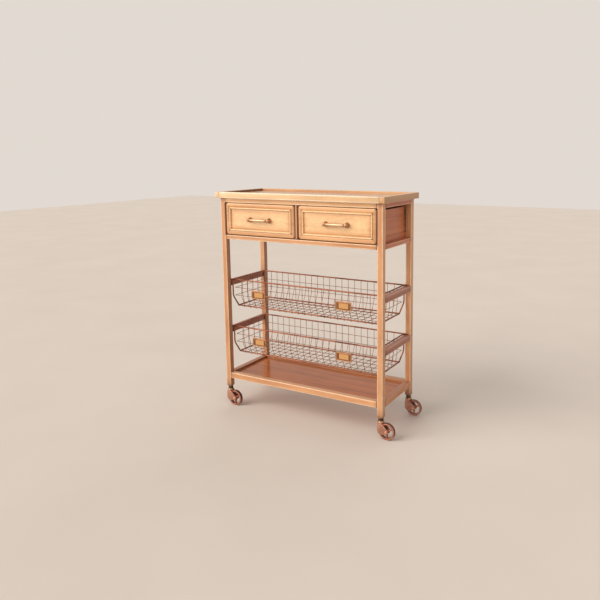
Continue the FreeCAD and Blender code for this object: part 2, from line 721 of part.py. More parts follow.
def caster_fork(label, x, y):
    body = turned(new_body(label), UPRIGHT)
    sketch = sketch_on(body, "cheek_profile", "XY_Plane")
    cheek_outline(sketch)
    cheeks = feature(body, "Pad", "cheeks")
    cheeks.Profile = sketch
    cheeks.SideType = "Symmetric"
    bind(cheeks, Length="2 * fork_half")
    stem_rise = "post_bottom + stem_length - run_gap - ring_bottom"
    round_bar(body, "AdditiveCylinder", "stem", "stem_diameter / 2", stem_rise,
              ("0", "ring_bottom", "0"), ALONG_Y)
    prism(body, "AdditivePrism", "collar", TURNED_SIDES, "ring_diameter / 2", "ring_height",
          ("0", "ring_bottom", "0"), ALONG_Y)
    prism(body, "AdditivePrism", "neck", TURNED_SIDES, "neck_diameter / 2",
          "post_bottom - run_gap - ring_bottom", ("0", "ring_bottom", "0"), ALONG_Y)
    slot = block(body, "SubtractiveBox", "slot",
                 ("caster_trail - (slot_radius * caster_trail + 3 * crown_radius * crown_rise) / fork_run",
                  "wheel_radius + (slot_radius * crown_rise - 3 * crown_radius * caster_trail) / fork_run",
                  "0 - slot_half_width"),
                 ("slot_radius + 2 * boss_radius", "6 * crown_radius", "2 * slot_half_width"))
    slot.Placement.Rotation = FreeCAD.Rotation(FreeCAD.Vector(0, 0, 1), math.degrees(fork_heading()))
    round_bar(body, "AdditiveCylinder", "axle", "axle_diameter / 2", "2 * fork_half",
              ("caster_trail", "wheel_radius", "0 - fork_half"), UNTURNED)
    for tail, start in (("rear", "0 - fork_half - axle_head_height"), ("front", "fork_half")):
        prism(body, "AdditivePrism", f"axle_head_{tail}", HEAD_SIDES, "axle_head / 2", "axle_head_height",
              ("caster_trail", "wheel_radius", start), UNTURNED)
    place(body, x, y, "0")
    keep(body)


def caster_wheel(label, x, y):
    body = turned(new_body(label), ALONG_Y)
    round_bar(body, "AdditiveCylinder", "disc", "wheel_radius", "wheel_width",
              ("0", "0", "0 - wheel_width / 2"), UNTURNED)
    prism(body, "SubtractivePrism", "hollow", RIM_SIDES, "wheel_radius - wheel_rim", "wheel_width",
          ("0", "0", "0 - wheel_width / 2"), UNTURNED)
    spoke = block(body, "AdditiveBox", "spoke", ("0 - spoke_width / 2", "0", "0 - wheel_width / 2"),
                  ("spoke_width", "wheel_radius - wheel_rim / 2", "wheel_width"))
    spokes = feature(body, "PolarPattern", "spokes")
    spokes.Originals = [spoke]
    spokes.Axis = (origin_plane(body, "Z_Axis"), [""])
    spokes.Angle = 360
    bind(spokes, Occurrences="spoke_count")
    body.Tip = spokes
    doc.recompute()
    prism(body, "AdditivePrism", "hub", TURNED_SIDES, "hub_diameter / 2", "wheel_width",
          ("0", "0", "0 - wheel_width / 2"), UNTURNED)
    round_bar(body, "SubtractiveCylinder", "bore", "axle_diameter / 2 + bearing_play", "wheel_width",
              ("0", "0", "0 - wheel_width / 2"), UNTURNED)
    place(body, x, y, "wheel_radius")
    keep(body)


for end_name, end in ENDS:
    for side_name, side in SIDES:
        stem = "middle + stem_x" if side > 0 else "middle - stem_x"
        across = "stem_y" if end > 0 else "0 - stem_y"
        caster_fork(f"caster_{end_name}_{side_name}_fork", stem, across)
        caster_wheel(f"caster_{end_name}_{side_name}_wheel", f"{stem} + caster_trail", across)

doc.recompute()

for thing in doc.Objects:
    if "Invalid" in thing.State or "Error" in thing.State:
        raise ValueError(f"{thing.Name} did not rebuild: {thing.State}")
for node in nodes:
    if node.Shape.isNull() or not node.Shape.isValid() or not node.Shape.Solids:
        raise ValueError(f"{node.Label} is not a sound solid")

os.makedirs("parts", exist_ok=True)
for node in nodes:
    node.Shape.exportStep(f"parts/{node.Label}.step")
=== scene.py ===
import math

import bmesh
import bpy
import numpy as np
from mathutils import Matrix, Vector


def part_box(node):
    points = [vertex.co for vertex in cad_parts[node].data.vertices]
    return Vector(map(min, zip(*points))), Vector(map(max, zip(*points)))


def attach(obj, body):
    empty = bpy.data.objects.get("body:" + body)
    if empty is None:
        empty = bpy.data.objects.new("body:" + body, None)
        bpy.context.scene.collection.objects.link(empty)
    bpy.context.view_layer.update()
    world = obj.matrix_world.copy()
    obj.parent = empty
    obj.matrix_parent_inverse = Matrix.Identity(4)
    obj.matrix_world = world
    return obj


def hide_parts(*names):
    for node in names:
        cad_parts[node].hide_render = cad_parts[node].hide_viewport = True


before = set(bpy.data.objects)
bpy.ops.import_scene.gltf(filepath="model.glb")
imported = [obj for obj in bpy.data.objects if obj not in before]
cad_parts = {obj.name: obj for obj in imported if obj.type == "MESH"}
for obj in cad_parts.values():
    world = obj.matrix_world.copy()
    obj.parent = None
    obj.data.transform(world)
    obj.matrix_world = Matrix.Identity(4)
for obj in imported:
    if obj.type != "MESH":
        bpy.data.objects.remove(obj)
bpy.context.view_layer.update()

# A narrow kitchen trolley of stained wood, with copper-finished wire baskets, bronze pulls and
# spoked casters. Shapes are worked out in millimetres and stored in metres, in the frame of the
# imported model.
MM = 0.001
ENDS = ("front", "rear")
SIDES = ("left", "right")
LEVELS = ("upper", "lower")
scene = bpy.context.scene
X, Y, Z = range(3)
AXES = np.eye(3)
X_AXIS, Y_AXIS, Z_AXIS = AXES


def linear(code):
    """The linear colour of an sRGB hex code, with full cover."""
    shares = [int(code[place:place + 2], 16) / 255 for place in (1, 3, 5)]
    return tuple(share / 12.92 if share <= 0.04045 else ((share + 0.055) / 1.055) ** 2.4
                 for share in shares) + (1.0,)


def add(tree, kind, inputs=None, stops=None, **settings):
    """Add a node: settings are its switches, inputs are values or (node, output) links, and stops
    are the places and colours of a colour ramp."""
    made = tree.nodes.new("ShaderNode" + kind)
    for name, value in settings.items():
        setattr(made, name, value)
    for place, (position, colour) in enumerate(stops or ()):
        elements = made.color_ramp.elements
        if 0 < place < len(stops) - 1:
            element = elements.new(position)
        else:
            element = elements[-1 if place else 0]
        element.position = position
        element.color = colour
    for socket, value in (inputs or {}).items():
        if isinstance(value, tuple) and isinstance(value[0], bpy.types.Node):
            tree.links.new(value[0].outputs[value[1]], made.inputs[socket])
        else:
            made.inputs[socket].default_value = value
    return made


def new_material(name):
    """An empty node material, and the tree to fill."""
    material = bpy.data.materials.new(name)
    material.use_nodes = True
    material.node_tree.nodes.clear()
    return material, material.node_tree


# Colour mixes: the places of their sockets, and the setting of those that darken.
MIX_FACTOR, MIX_A, MIX_B, MIX_OUT = 0, 6, 7, 2
MULTIPLIED = {"data_type": "RGBA", "blend_type": "MULTIPLY"}
# Patterns, in millimetres: in wood, lengths along and across the grain. Fibres and pores are drawn
# coarser than real ones, so that they show.
GROWTH_BAND, FIBRE, PORE = (300, 22), (70, 1.6), (9, 0.7)
STAIN_PATCH, RUBBED_LENGTH = (90, 45), (14, 5)
PATINA_SPECK, CARD_FIBRE = 1.4, 2.0
FIBRE_RELIEF, SPECK_RELIEF, CARD_RELIEF = 0.12, 0.1, 0.05
# Layers that darken wood: lengths, detail, roughness, share, and places and greys of a ramp.
DARKENING = ((FIBRE, 4.0, 0.6, 0.5, ((0.30, 0.74), (0.62, 1.0))),
             (PORE, 1.0, 0.5, 0.5, ((0.28, 0.5), (0.38, 1.0))),
             (STAIN_PATCH, 2.0, 0.5, 1.0, ((0.32, 0.90), (0.66, 1.03))))


def stained_wood(name, tones, grain=None, rubbed_and_lit_tone=None, coat=0.15, smooth=0.30, rough=0.46,
                 specular=0.5):
    """Stained hardwood under satin varnish, glazed dark in corners and worn paler on edges; the
    same darkening also paints shade, and the paler tone also paints highlights.

    The eye gets long soft bands of growth, fine fibre streaks and short pores along the grain, a
    stain that took unevenly, dark joints and a low sheen. Without a grain axis it reads the
    piece's own grain attribute.
    """
    material, tree = new_material(name)
    light, middle, dark, glaze = map(linear, tones.split())
    if grain is None:
        source = (add(tree, "Attribute", attribute_name="grain"), "Vector")
        axis = 0
    else:
        source = (add(tree, "TexCoord"), "Object")
        axis = grain

    def stretched(lengths):
        along, across = lengths
        scale = [1 / (across * MM)] * 3
        scale[axis] = 1 / (along * MM)
        return add(tree, "Mapping", {"Vector": source, "Scale": scale}), "Vector"
    # The growth bands give the main tone.
    bands = add(tree, "TexNoise", {"Vector": stretched(GROWTH_BAND), "Scale": 1.0, "Detail": 3.0,
                                   "Distortion": 0.7})
    tone = add(tree, "ValToRGB", {"Fac": (bands, "Fac")},
               stops=[(0.25, dark), (0.52, middle), (0.75, light)])
    # Fibre streaks, pores and patches of stain darken it.
    colour = (tone, "Color")
    layers = []
    for lengths, detail, roughness, share, greys in DARKENING:
        layer = add(tree, "TexNoise", {"Vector": stretched(lengths), "Scale": 1.0,
                                       "Detail": detail, "Roughness": roughness})
        ramp = add(tree, "ValToRGB", {"Fac": (layer, "Fac")},
                   stops=[(place, (value, value, value, 1.0)) for place, value in greys])
        mix = add(tree, "Mix", {MIX_FACTOR: share, MIX_A: colour, MIX_B: (ramp, "Color")},
                  **MULTIPLIED)
        colour = (mix, MIX_OUT)
        layers.append((layer, "Fac"))
    fibres, _, patches = layers
    # Rubbed edges are paler, in broken lengths; the same attribute also carries painted highlights
    # on edges, beads and ends that face the light.
    broken = add(tree, "TexNoise", {"Vector": stretched(RUBBED_LENGTH), "Scale": 1.0,
                                    "Detail": 2.0})
    wear = add(tree, "Attribute", attribute_name="wear")
    length = add(tree, "MapRange", {"Value": (broken, "Fac"), "From Min": 0.3, "From Max": 0.7,
                                    "To Min": 0.45, "To Max": 0.95})
    rubbed_and_lit = add(tree, "Math", {0: (wear, "Fac"), 1: (length, "Result")}, operation="MULTIPLY")
    paler = add(tree, "Mix", {MIX_FACTOR: (rubbed_and_lit, "Value"), MIX_A: colour,
                              MIX_B: linear(rubbed_and_lit_tone) if rubbed_and_lit_tone else light},
                data_type="RGBA")
    # Dark glaze is left in corners and joints; the same attribute also carries painted shade on
    # faces, edges and gaps that the light leaves dark.
    left = add(tree, "Attribute", attribute_name="glaze")
    thick = add(tree, "MapRange", {"Value": patches, "From Min": 0.2, "From Max": 0.8,
                                   "To Min": 0.75, "To Max": 1.0})
    shade = add(tree, "Math", {0: (left, "Fac"), 1: (thick, "Result")}, operation="MULTIPLY")
    glazed = add(tree, "Mix", {MIX_FACTOR: (shade, "Value"), MIX_A: (paler, MIX_OUT), MIX_B: glaze},
                 data_type="RGBA")
    gloss = add(tree, "MapRange", {"Value": fibres, "From Min": 0.3, "From Max": 0.7,
                                   "To Min": smooth, "To Max": rough})
    relief = add(tree, "Bump", {"Height": fibres, "Strength": 0.1, "Distance": FIBRE_RELIEF * MM})
    skin = add(tree, "BsdfPrincipled",
               {"Base Color": (glazed, MIX_OUT), "Roughness": (gloss, "Result"),
                "Normal": (relief, "Normal"), "IOR": 1.5, "Specular IOR Level": specular,
                "Coat Weight": coat, "Coat Roughness": 0.25})
    add(tree, "OutputMaterial", {"Surface": (skin, "BSDF")})
    return material


def aged_metal(name, tones, roughness, cloud_mm=14, metallic=1.0):
    """Antique copper, bronze or brass, or worn zinc: clouded patina, bright where hands polish it
    and where a highlight is painted.

    The eye gets warm cloudy tones, fine specks and darker recesses with a soft metal shine; the
    same darkening also paints shade on faces and edges turned from the light.
    """
    material, tree = new_material(name)
    bright, dull, dark, worn = map(linear, tones.split())
    source = (add(tree, "TexCoord"), "Object")
    clouds = add(tree, "TexNoise", {"Vector": source, "Scale": 1 / (cloud_mm * MM), "Detail": 4.0,
                                    "Roughness": 0.6})
    tone = add(tree, "ValToRGB", {"Fac": (clouds, "Fac")},
               stops=[(0.32, dull), (0.52, bright), (0.72, bright)])
    specks = add(tree, "TexNoise", {"Vector": source, "Scale": 1 / (PATINA_SPECK * MM),
                                    "Detail": 3.0})
    speck = add(tree, "ValToRGB", {"Fac": (specks, "Fac")},
                stops=[(0.30, (0.55, 0.55, 0.55, 1.0)), (0.50, (1.0, 1.0, 1.0, 1.0))])
    flecked = add(tree, "Mix", {MIX_FACTOR: 0.6, MIX_A: (tone, "Color"), MIX_B: (speck, "Color")},
                  **MULTIPLIED)
    left = add(tree, "Attribute", attribute_name="glaze")
    dimmed = add(tree, "Mix", {MIX_FACTOR: (left, "Fac"), MIX_A: (flecked, MIX_OUT), MIX_B: dark},
                 data_type="RGBA")
    handled_and_lit = add(tree, "Attribute", attribute_name="wear")
    aged = add(tree, "Mix", {MIX_FACTOR: (handled_and_lit, "Fac"), MIX_A: (dimmed, MIX_OUT), MIX_B: worn},
               data_type="RGBA")
    rough = add(tree, "MapRange", {"Value": (clouds, "Fac"), "From Min": 0.3, "From Max": 0.7,
                                   "To Min": roughness + 0.12, "To Max": roughness - 0.06})
    relief = add(tree, "Bump", {"Height": (specks, "Fac"), "Strength": 0.1,
                                "Distance": SPECK_RELIEF * MM})
    skin = add(tree, "BsdfPrincipled",
               {"Base Color": (aged, MIX_OUT), "Roughness": (rough, "Result"),
                "Normal": (relief, "Normal"), "Metallic": metallic})
    add(tree, "OutputMaterial", {"Surface": (skin, "BSDF")})
    return material


def plain_card(name, tone, fibre):
    """Uncoated paper card: the eye gets a matt face with faint short fibres."""
    material, tree = new_material(name)
    source = (add(tree, "TexCoord"), "Object")
    fibres = add(tree, "TexNoise", {"Vector": source, "Scale": 1 / (CARD_FIBRE * MM),
                                    "Detail": 5.0})
    mixed = add(tree, "ValToRGB", {"Fac": (fibres, "Fac")},
                stops=[(0.35, linear(fibre)), (0.6, linear(tone))])
    relief = add(tree, "Bump", {"Height": (fibres, "Fac"), "Strength": 0.1,
                                "Distance": CARD_RELIEF * MM})
    skin = add(tree, "BsdfPrincipled", {"Base Color": (mixed, "Color"), "Roughness": 0.85,
                                        "Normal": (relief, "Normal")})
    add(tree, "OutputMaterial", {"Surface": (skin, "BSDF")})
    return material


# Finishes. Tones of wood are light, middle, dark and glaze, the glaze tone also darkening painted
# shade; those of metal are bright, dull, dark and worn, the worn tone also painting highlights.
# The wood comes as lit and shaded copies of one stain: the paler copies for the upper front rail
# and the tray rims are painted light and sheen, and the darker, redder copies for the side rails,
# drawer sides, runners, basket rails, shelf side rails and shelf board are painted shade.
FRAME_TONES = "#DFAC80 #D49B6E #BC8158 #5A2812"
CASE_TONES = "#F2C896 #E7B37F #D09A68 #602C16"
SIDE_TONES = "#CE7E50 #C26E42 #A85A34 #46221A"
RAIL_TONES = "#B07056 #9F6049 #824C38 #3C1E18"
RIM_TONES = "#F8DAB2 #EDC898 #D9AC7C #57301F"
SHELF_TONES = "#DA9A6C #CE8A5E #B4744A #5A2C18"
SHELF_BOARD_TONES = "#C67842 #B86834 #9C5428 #4A2418"
FRONT_TONES = "#EEBB88 #E3AA76 #CC905C #5E2C16"
INNER_TONES = "#D9A880 #CC9468 #AF7A50 #6A4028"
frame_wood = stained_wood("stained_hardwood_satin", FRAME_TONES, rubbed_and_lit_tone="#F4D2AC")
# The next two are paler copies: painted light on the upper front rail and tray rims, and painted
# sheen on the tray's front.
case_wood = stained_wood("stained_hardwood_front_rails", CASE_TONES, rubbed_and_lit_tone="#FFE8C8")
rim_wood = stained_wood("stained_hardwood_tray_front", RIM_TONES, rubbed_and_lit_tone="#FFF0DA", coat=0.3)
# The next three are darker, redder copies: painted shade on the side rails, basket rails and shelf
# side rails.
side_wood = stained_wood("stained_hardwood_side_rails", SIDE_TONES, rubbed_and_lit_tone="#E3A888")
rail_wood = stained_wood("stained_hardwood_basket_rails_painted_shade", RAIL_TONES, rubbed_and_lit_tone="#CC947C")
shelf_wood = stained_wood("stained_hardwood_shelf_sides", SHELF_TONES, rubbed_and_lit_tone="#D6946A")
front_wood = stained_wood("stained_hardwood_drawer_front", FRONT_TONES, rubbed_and_lit_tone="#FFE2B0")
tray_board = stained_wood("varnished_board_tray", FRAME_TONES, grain=X, coat=0.4, smooth=0.22,
                          rough=0.34)
# A darker, redder copy: painted shade on the shelf board under the case and baskets.
shelf_board = stained_wood("varnished_board_shelf", SHELF_BOARD_TONES, grain=X, coat=0.0,
                           smooth=0.12, rough=0.22, specular=0.3)
# The side tones again: painted shade on the drawer sides and runners.
side_board = stained_wood("stained_board_grain_y", SIDE_TONES, grain=Y)
inner_wood_x = stained_wood("thin_varnished_board_grain_x", INNER_TONES, grain=X)
copper_wire = aged_metal("antique_copper_thick_wire", "#9E644C #5C3224 #4A2A1E #D2A080", 0.42,
                         cloud_mm=38, metallic=0.8)
thin_copper_wire = aged_metal("antique_copper_thin_wire", "#A06E58 #7C5040 #3E2A22 #A07A6C",
                              0.45, metallic=0.7)
bronze = aged_metal("antique_bronze_pull", "#CF9A70 #A8734C #5E3A26 #EBC4A2", 0.40, cloud_mm=9,
                    metallic=0.6)
dark_bronze = aged_metal("dark_bronze_stem", "#6A5A3E #4A3D2A #2A2218 #C8987C", 0.4, cloud_mm=6)
fork_copper = aged_metal("copper_enamel_fork", "#CC967E #AE7862 #5A342C #E2B8A2", 0.48,
                         metallic=0.45)
wheel_copper = aged_metal("dark_copper_enamel_wheel", "#B8745C #985A44 #3E201C #C08A76", 0.5,
                          metallic=0.45)
brass = aged_metal("aged_brass_holder", "#A8744E #86583C #40241A #C8926A", 0.45, cloud_mm=8,
                   metallic=0.7)
steel = aged_metal("zinc_plated_screw", "#B9B4AA #8F8A82 #55514C #D0CCC4", 0.35, cloud_mm=5)
card = plain_card("uncoated_card", "#CC9C64", "#BC8A54")


def grid_faces(rows, columns, round_rows):
    """Corner numbers of the four-sided faces of a grid that is closed round its columns, with the
    points numbered row by row."""
    row = np.arange(rows if round_rows else rows - 1)[:, None]
    column = np.arange(columns)[None, :]
    next_row = (row + 1) % rows
    next_column = (column + 1) % columns
    corners = (row * columns + column, row * columns + next_column,
               next_row * columns + next_column, next_row * columns + column)
    return np.stack(np.broadcast_arrays(*corners), axis=-1).reshape(-1, 4)


def shell(grid, round_rows=False, **tags):
    """A skin over a grid of points, closed round its columns. Its rows close into a ring too, or
    else the first and last get flat caps.

    Tags are numbers carried by the points, such as how much darker and paler they are painted, for
    the finish and for painted light and shade.
    """
    rows, columns = grid.shape[:2]
    faces = [grid_faces(rows, columns, round_rows)]
    if not round_rows:
        ring = np.arange(columns)[None]
        faces += [ring[:, ::-1], ring + (rows - 1) * columns]
    carried = {name: np.broadcast_to(value, (rows, columns)).ravel()
               for name, value in tags.items()}
    return grid.reshape(-1, 3), faces, carried


def placed(name, data):
    """A new object in the scene."""
    made = bpy.data.objects.new(name, data)
    scene.collection.objects.link(made)
    return made


SHARP_ANGLE = 38
DOUBLES_APART = 1e-6
GRAIN_SHIFT = np.array([0.617, 0.0731, 0.0412])
made_pieces = []


def piece(name, shells, material, body, replaces=(), grain=None):
    """One object from several skins: doubles merged, faces turned outwards, sharp edges marked.

    With a grain axis, each point carries its place along and across the grain, shifted for each
    piece, so that no two pieces look cut from one board.
    """
    points = np.concatenate([points for points, _, _ in shells]) * MM
    starts = np.cumsum([0] + [len(points) for points, _, _ in shells])
    faces = [face for (_, group, _), start in zip(shells, starts) for block in group
             for face in (block + start).tolist()]
    mesh = bpy.data.meshes.new(name)
    mesh.from_pydata(points.tolist(), [], faces, shade_flat=False)
    for tag in ("glaze", "wear"):
        values = np.concatenate([tags.get(tag, np.zeros(len(skin))) for skin, _, tags in shells])
        carrier = mesh.attributes.new(tag, "FLOAT", "POINT")
        carrier.data.foreach_set("value", values.astype(np.float32))
    if grain is not None:
        turned = points[:, [grain, (grain + 1) % 3, (grain + 2) % 3]]
        turned = turned + len(made_pieces) * GRAIN_SHIFT
        carrier = mesh.attributes.new("grain", "FLOAT_VECTOR", "POINT")
        carrier.data.foreach_set("vector", turned.ravel().astype(np.float32))
    work = bmesh.new()
    work.from_mesh(mesh)
    bmesh.ops.remove_doubles(work, verts=work.verts, dist=DOUBLES_APART)
    bmesh.ops.recalc_face_normals(work, faces=work.faces)
    work.to_mesh(mesh)
    work.free()
    mesh.set_sharp_from_angle(angle=math.radians(SHARP_ANGLE))
    mesh.materials.append(material)
    made = placed(name, mesh)
    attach(made, body)
    if replaces:
        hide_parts(*replaces)
    made_pieces.append(made)


def node_box(node):
    """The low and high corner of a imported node, in millimetres."""
    low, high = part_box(node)
    return np.array(low) / MM, np.array(high) / MM


ARC_STEPS = 3


def rounded_loop(half_a, half_b, radius, margin):
    """Points round a rectangle with quarter-circle corners, and one on each flat beside each arc.

    Each point is its corner's arc centre, plus the radius along its angle, plus the margin along
    the flat. The sizes may be columns, one value for each row of a grid. Returns both offsets and
    1 on the arcs.
    """
    corner = np.repeat(np.arange(4), ARC_STEPS + 3)
    step = np.tile([0, *range(ARC_STEPS + 1), ARC_STEPS], 4) / ARC_STEPS
    flat = np.tile([-1] + [0] * (ARC_STEPS + 1) + [1], 4)
    angle = (corner + step) * math.pi / 2
    sign_a = np.array([1, -1, -1, 1])[corner]
    sign_b = np.array([1, 1, -1, -1])[corner]
    a = sign_a * (half_a - radius) + radius * np.cos(angle) - flat * margin * np.sin(angle)
    b = sign_b * (half_b - radius) + radius * np.sin(angle) + flat * margin * np.cos(angle)
    return a, b, (flat == 0).astype(float)


# Planed bars: posts, rims and rails.
EDGE_ROUND = 1.5
LEAST_ROUND = 0.3
EDGE_MARGIN = 2.5
END_STEPS = np.array([0, 0.3, 1, 3.5, 11]) * EDGE_ROUND
END_INSETS = np.array([1, 0.3, 0, 0, 0]) * EDGE_ROUND
END_GLAZE = np.array([0.9, 0.8, 0.6, 0.2, 0])
# A post's foot darkens further up than other ends: partly end grain, partly painted shade near the
# floor.
FOOT_GLAZE_AND_SHADE = np.array([0.9, 0.85, 0.7, 0.4, 0])
FOOT_CHAMFER = 3
BORE_RADIUS, BORE_DEPTH = 6.15, 31
LINE_LEAD, LINE_DARKNESS = 5, 0.9
NEARLY = 0.1


def planed_bar(node, grain, material, foot=False, end_glaze_and_shade=1.0, shaded=(), edge_round=EDGE_ROUND,
               painted_edge_shade=0.0, end_highlight=0.0, line=None, shade_along=()):
    """A bar with softly rounded edges: its section's rounded rectangle, carried from end to end.

    Near each end the section draws in along a quarter round. A post's foot draws in further and
    has a bore: there the section's points move in to even places on a circle, and go up inside.
    Shaded faces, each an axis, a sign and a share, get painted shade; so may the long edges.
    The ends may be painted paler, a painted highlight. A dark line, given as a start, a stop, an
    axis and a sign, lies on the edges beside one face, where a neighbour meets it. Painted shade
    along the bar is a list of places and their least darkening.
    """
    low, high = node_box(node)
    half = (high - low) / 2
    middle = (high + low) / 2
    first, second = [axis for axis in range(3) if axis != grain]
    reach = half[grain]
    low_scale = FOOT_CHAMFER / EDGE_ROUND if foot else 1
    low_glaze = FOOT_GLAZE_AND_SHADE if foot else END_GLAZE
    places = [place for place, _ in shade_along]
    if line:
        start, stop, line_axis, line_sign = line
        places += [start - LINE_LEAD, start, stop]
    stops = np.array(places) - middle[grain]
    along = np.r_[END_STEPS * low_scale - reach, stops, (reach - END_STEPS)[::-1]][:, None]
    inset = np.r_[END_INSETS * low_scale, 0 * stops, END_INSETS[::-1]][:, None]
    glaze = np.r_[low_glaze, 0 * stops, END_GLAZE[::-1]][:, None] * end_glaze_and_shade
    radius = np.maximum(edge_round - 0.8 * inset, LEAST_ROUND)
    margin = min(EDGE_MARGIN, 0.4 * (min(half[first], half[second]) - edge_round))
    a, b, edge = rounded_loop(half[first] - inset, half[second] - inset, radius, margin)
    offsets = {first: a, second: b}
    glaze = np.maximum(glaze, painted_edge_shade * edge)
    if shade_along:
        glaze = np.maximum(glaze, np.interp(along + middle[grain], *zip(*shade_along)))
    wear = edge * (1 - glaze) * (inset == 0) * (painted_edge_shade == 0) + end_highlight * (inset > 0)
    for axis, sign, share in shaded:
        on_face = (offsets[axis] * sign > half[axis] - 0.5 * edge_round) & (inset == 0)
        glaze = np.maximum(glaze, share * on_face)
        wear = wear * (1 - on_face)
    if line:
        beside = offsets[line_axis] * line_sign > half[line_axis] - edge_round - NEARLY
        from_middle = np.abs(along + middle[grain] - (start + stop) / 2)
        on_line = beside & (from_middle < (stop - start) / 2 + NEARLY) & (edge > 0)
        glaze = np.maximum(glaze, LINE_DARKNESS * on_line)
        wear = wear * (1 - on_line)
    # The bore is dark all through: painted shade inside it.
    if foot:
        turn = (np.arange(len(edge)) + 0.5) / len(edge) * 2 * math.pi
        a = np.r_[np.tile(BORE_RADIUS * np.cos(turn), (2, 1)), a]
        b = np.r_[np.tile(BORE_RADIUS * np.sin(turn), (2, 1)), b]
        along = np.r_[[[BORE_DEPTH - reach], [-reach]], along]
        glaze = np.r_[np.ones((2, len(edge))), glaze]
        wear = np.r_[np.zeros((2, len(edge))), wear]
    grid = np.empty(a.shape + (3,))
    grid[..., grain] = middle[grain] + along
    grid[..., first] = middle[first] + a
    grid[..., second] = middle[second] + b
    piece(f"{node}_bar", [shell(grid, glaze=glaze, wear=wear)], material, "frame",
          (node,), grain=grain)


# Painted shade: on inner faces, and along bars as places, each with its least darkening: darker
# towards the posts' feet, a painted shadow of the baskets on the rear-left post, and darker
# towards the tray rims' right ends.
INNER_SHADE = {"left": (X, 1, 0.45), "right": (X, -1, 0.5)}
LOWER_PAINTED_SHADE = [(300, 0.1), (450, 0)]
BASKET_PAINTED_SHADOW = [(210, 0.1), (270, 0.25), (470, 0.25), (520, 0)]
RIGHT_END_PAINTED_SHADE = [(150, 0), (240, 0.1), (275, 0.2)]
# The dark line beside a drawer starts under its front and stops short of its top.
LINE_UNDER, LINE_SHORT = 1.5, 1
drawer_low, drawer_high = node_box("drawer_left_front")
drawer_line = (drawer_low[2] - LINE_UNDER, drawer_high[2] - LINE_SHORT)
# Posts: painted shade on their inner faces and along them; the front posts carry the dark line
# beside the drawers.
for end in ENDS:
    rear = end == "rear"
    for side in SIDES:
        planed_bar(f"post_{end}_{side}", Z, frame_wood, foot=True, shaded=[INNER_SHADE[side]],
                   line=None if rear else drawer_line + INNER_SHADE[side][:2],
                   shade_along=BASKET_PAINTED_SHADOW if rear and side == "left" else LOWER_PAINTED_SHADE)
    # Tray rims: painted shade on the rear rim's inner face, and darker towards the right ends.
    planed_bar(f"tray_rim_{end}", X, case_wood if rear else rim_wood, end_glaze_and_shade=0.4,
               shaded=[(Y, -1, 0.25)] if rear else (), shade_along=RIGHT_END_PAINTED_SHADE)
    # The rear shelf rail: painted shade on its inner face and top.
    planed_bar(f"shelf_rail_{end}", X, frame_wood,
               shaded=[(Y, -1, 0.35), (Z, 1, 0.3)] if rear else ())
planed_bar("case_rail_front_upper", X, case_wood)
# The lower front rail's top, under the drawers: painted shade.
planed_bar("case_rail_front_lower", X, frame_wood, shaded=[(Z, 1, 0.4)])
for side in SIDES:
    axis, sign, _ = INNER_SHADE[side]
    left = side == "left"
    # Side tray rims: painted shade on the left rim's inner face, the right rim's outer face and its
    # ends, and a painted highlight on the left rim's ends.
    planed_bar(f"tray_rim_{side}", Y, case_wood, end_glaze_and_shade=0.05 if left else 0.3,
               end_highlight=0.6 if left else 0.0, shaded=[(X, 1, 0.95 if left else 0.45)])
    # Shelf side rails: painted shade on their inner faces and tops.
    planed_bar(f"shelf_rail_{side}", Y, shelf_wood, shaded=[(axis, sign, 0.7), (Z, 1, 0.4)])
    for level in LEVELS:
        planed_bar(f"case_rail_{side}_{level}", Y, side_wood)
        planed_bar(f"basket_rail_{level}_{side}", Y, rail_wood)
# The partition's long edges: painted shade in the gaps beside the drawers.
planed_bar("drawer_partition", Z, frame_wood, edge_round=2.2, painted_edge_shade=0.95)


MITRE_REACH = 2.5


def nested_rings(low, high, profile):
    """Nested rounded rectangles that face the front, from rows of two insets, a rise and a radius.

    Each ring is the outline drawn in by its insets and raised by its rise towards the front.
    """
    half = (high - low) / 2
    middle = (high + low) / 2
    inset_x, inset_z, rise, radius = (column[:, None] for column in profile.T)
    x, z, corner = rounded_loop(half[0] - inset_x, half[2] - inset_z, radius,
                                np.maximum(radius, MITRE_REACH))
    grid = np.empty(x.shape + (3,))
    grid[..., 0] = middle[0] + x
    grid[..., 1] = -rise
    grid[..., 2] = middle[2] + z
    return grid, corner


# Drawer fronts: a round edge, a flat band, a half-round bead between two quirks, and a sunk field.
FRONT_DEPTH = 14.0
EDGE_WIDTH, EDGE_DROP = 5.5, 4.0
OUTER_CORNER, INNER_CORNER = 8.0, 0.6
BAND = 14.0
BEAD = 8.0
BEAD_RISE = 3.0
FIELD = BAND + BEAD
FIELD_STEPS = (1.2, 5, 11, 19, 28)
FIELD_SINK = 2.0
QUIRK = 0.6
# Their glaze and wear: a strength, or a strength and how far it reaches. The right and lower edges
# and the sides in the gaps get painted shade, and the bead and round edge are paler partly as
# painted highlights.
RIGHT_EDGE_PAINTED_SHADE, LOWER_EDGE_PAINTED_SHADE, EDGE_GLAZE = (0.85, 4.5), (0.6, 3), (0.45, 1.6)
OUTER_QUIRK_GLAZE, INNER_QUIRK_GLAZE, FIELD_GLAZE = (0.3, 1.2), (0.12, 1.0), (0.22, 6)
BACK_GLAZE, SIDE_PAINTED_SHADE = 0.1, 0.65
STILE_GLAZE, RAIL_GLAZE = 0.2, 0.03
BEAD_WEAR_AND_HIGHLIGHT, EDGE_WEAR_AND_HIGHLIGHT, FIELD_WEAR = (1.2, 2.4), (0.5, 1.5), (0.7, 10)
MITRE_GLAZE, MITRE_SHIELD = 0.45, 0.6


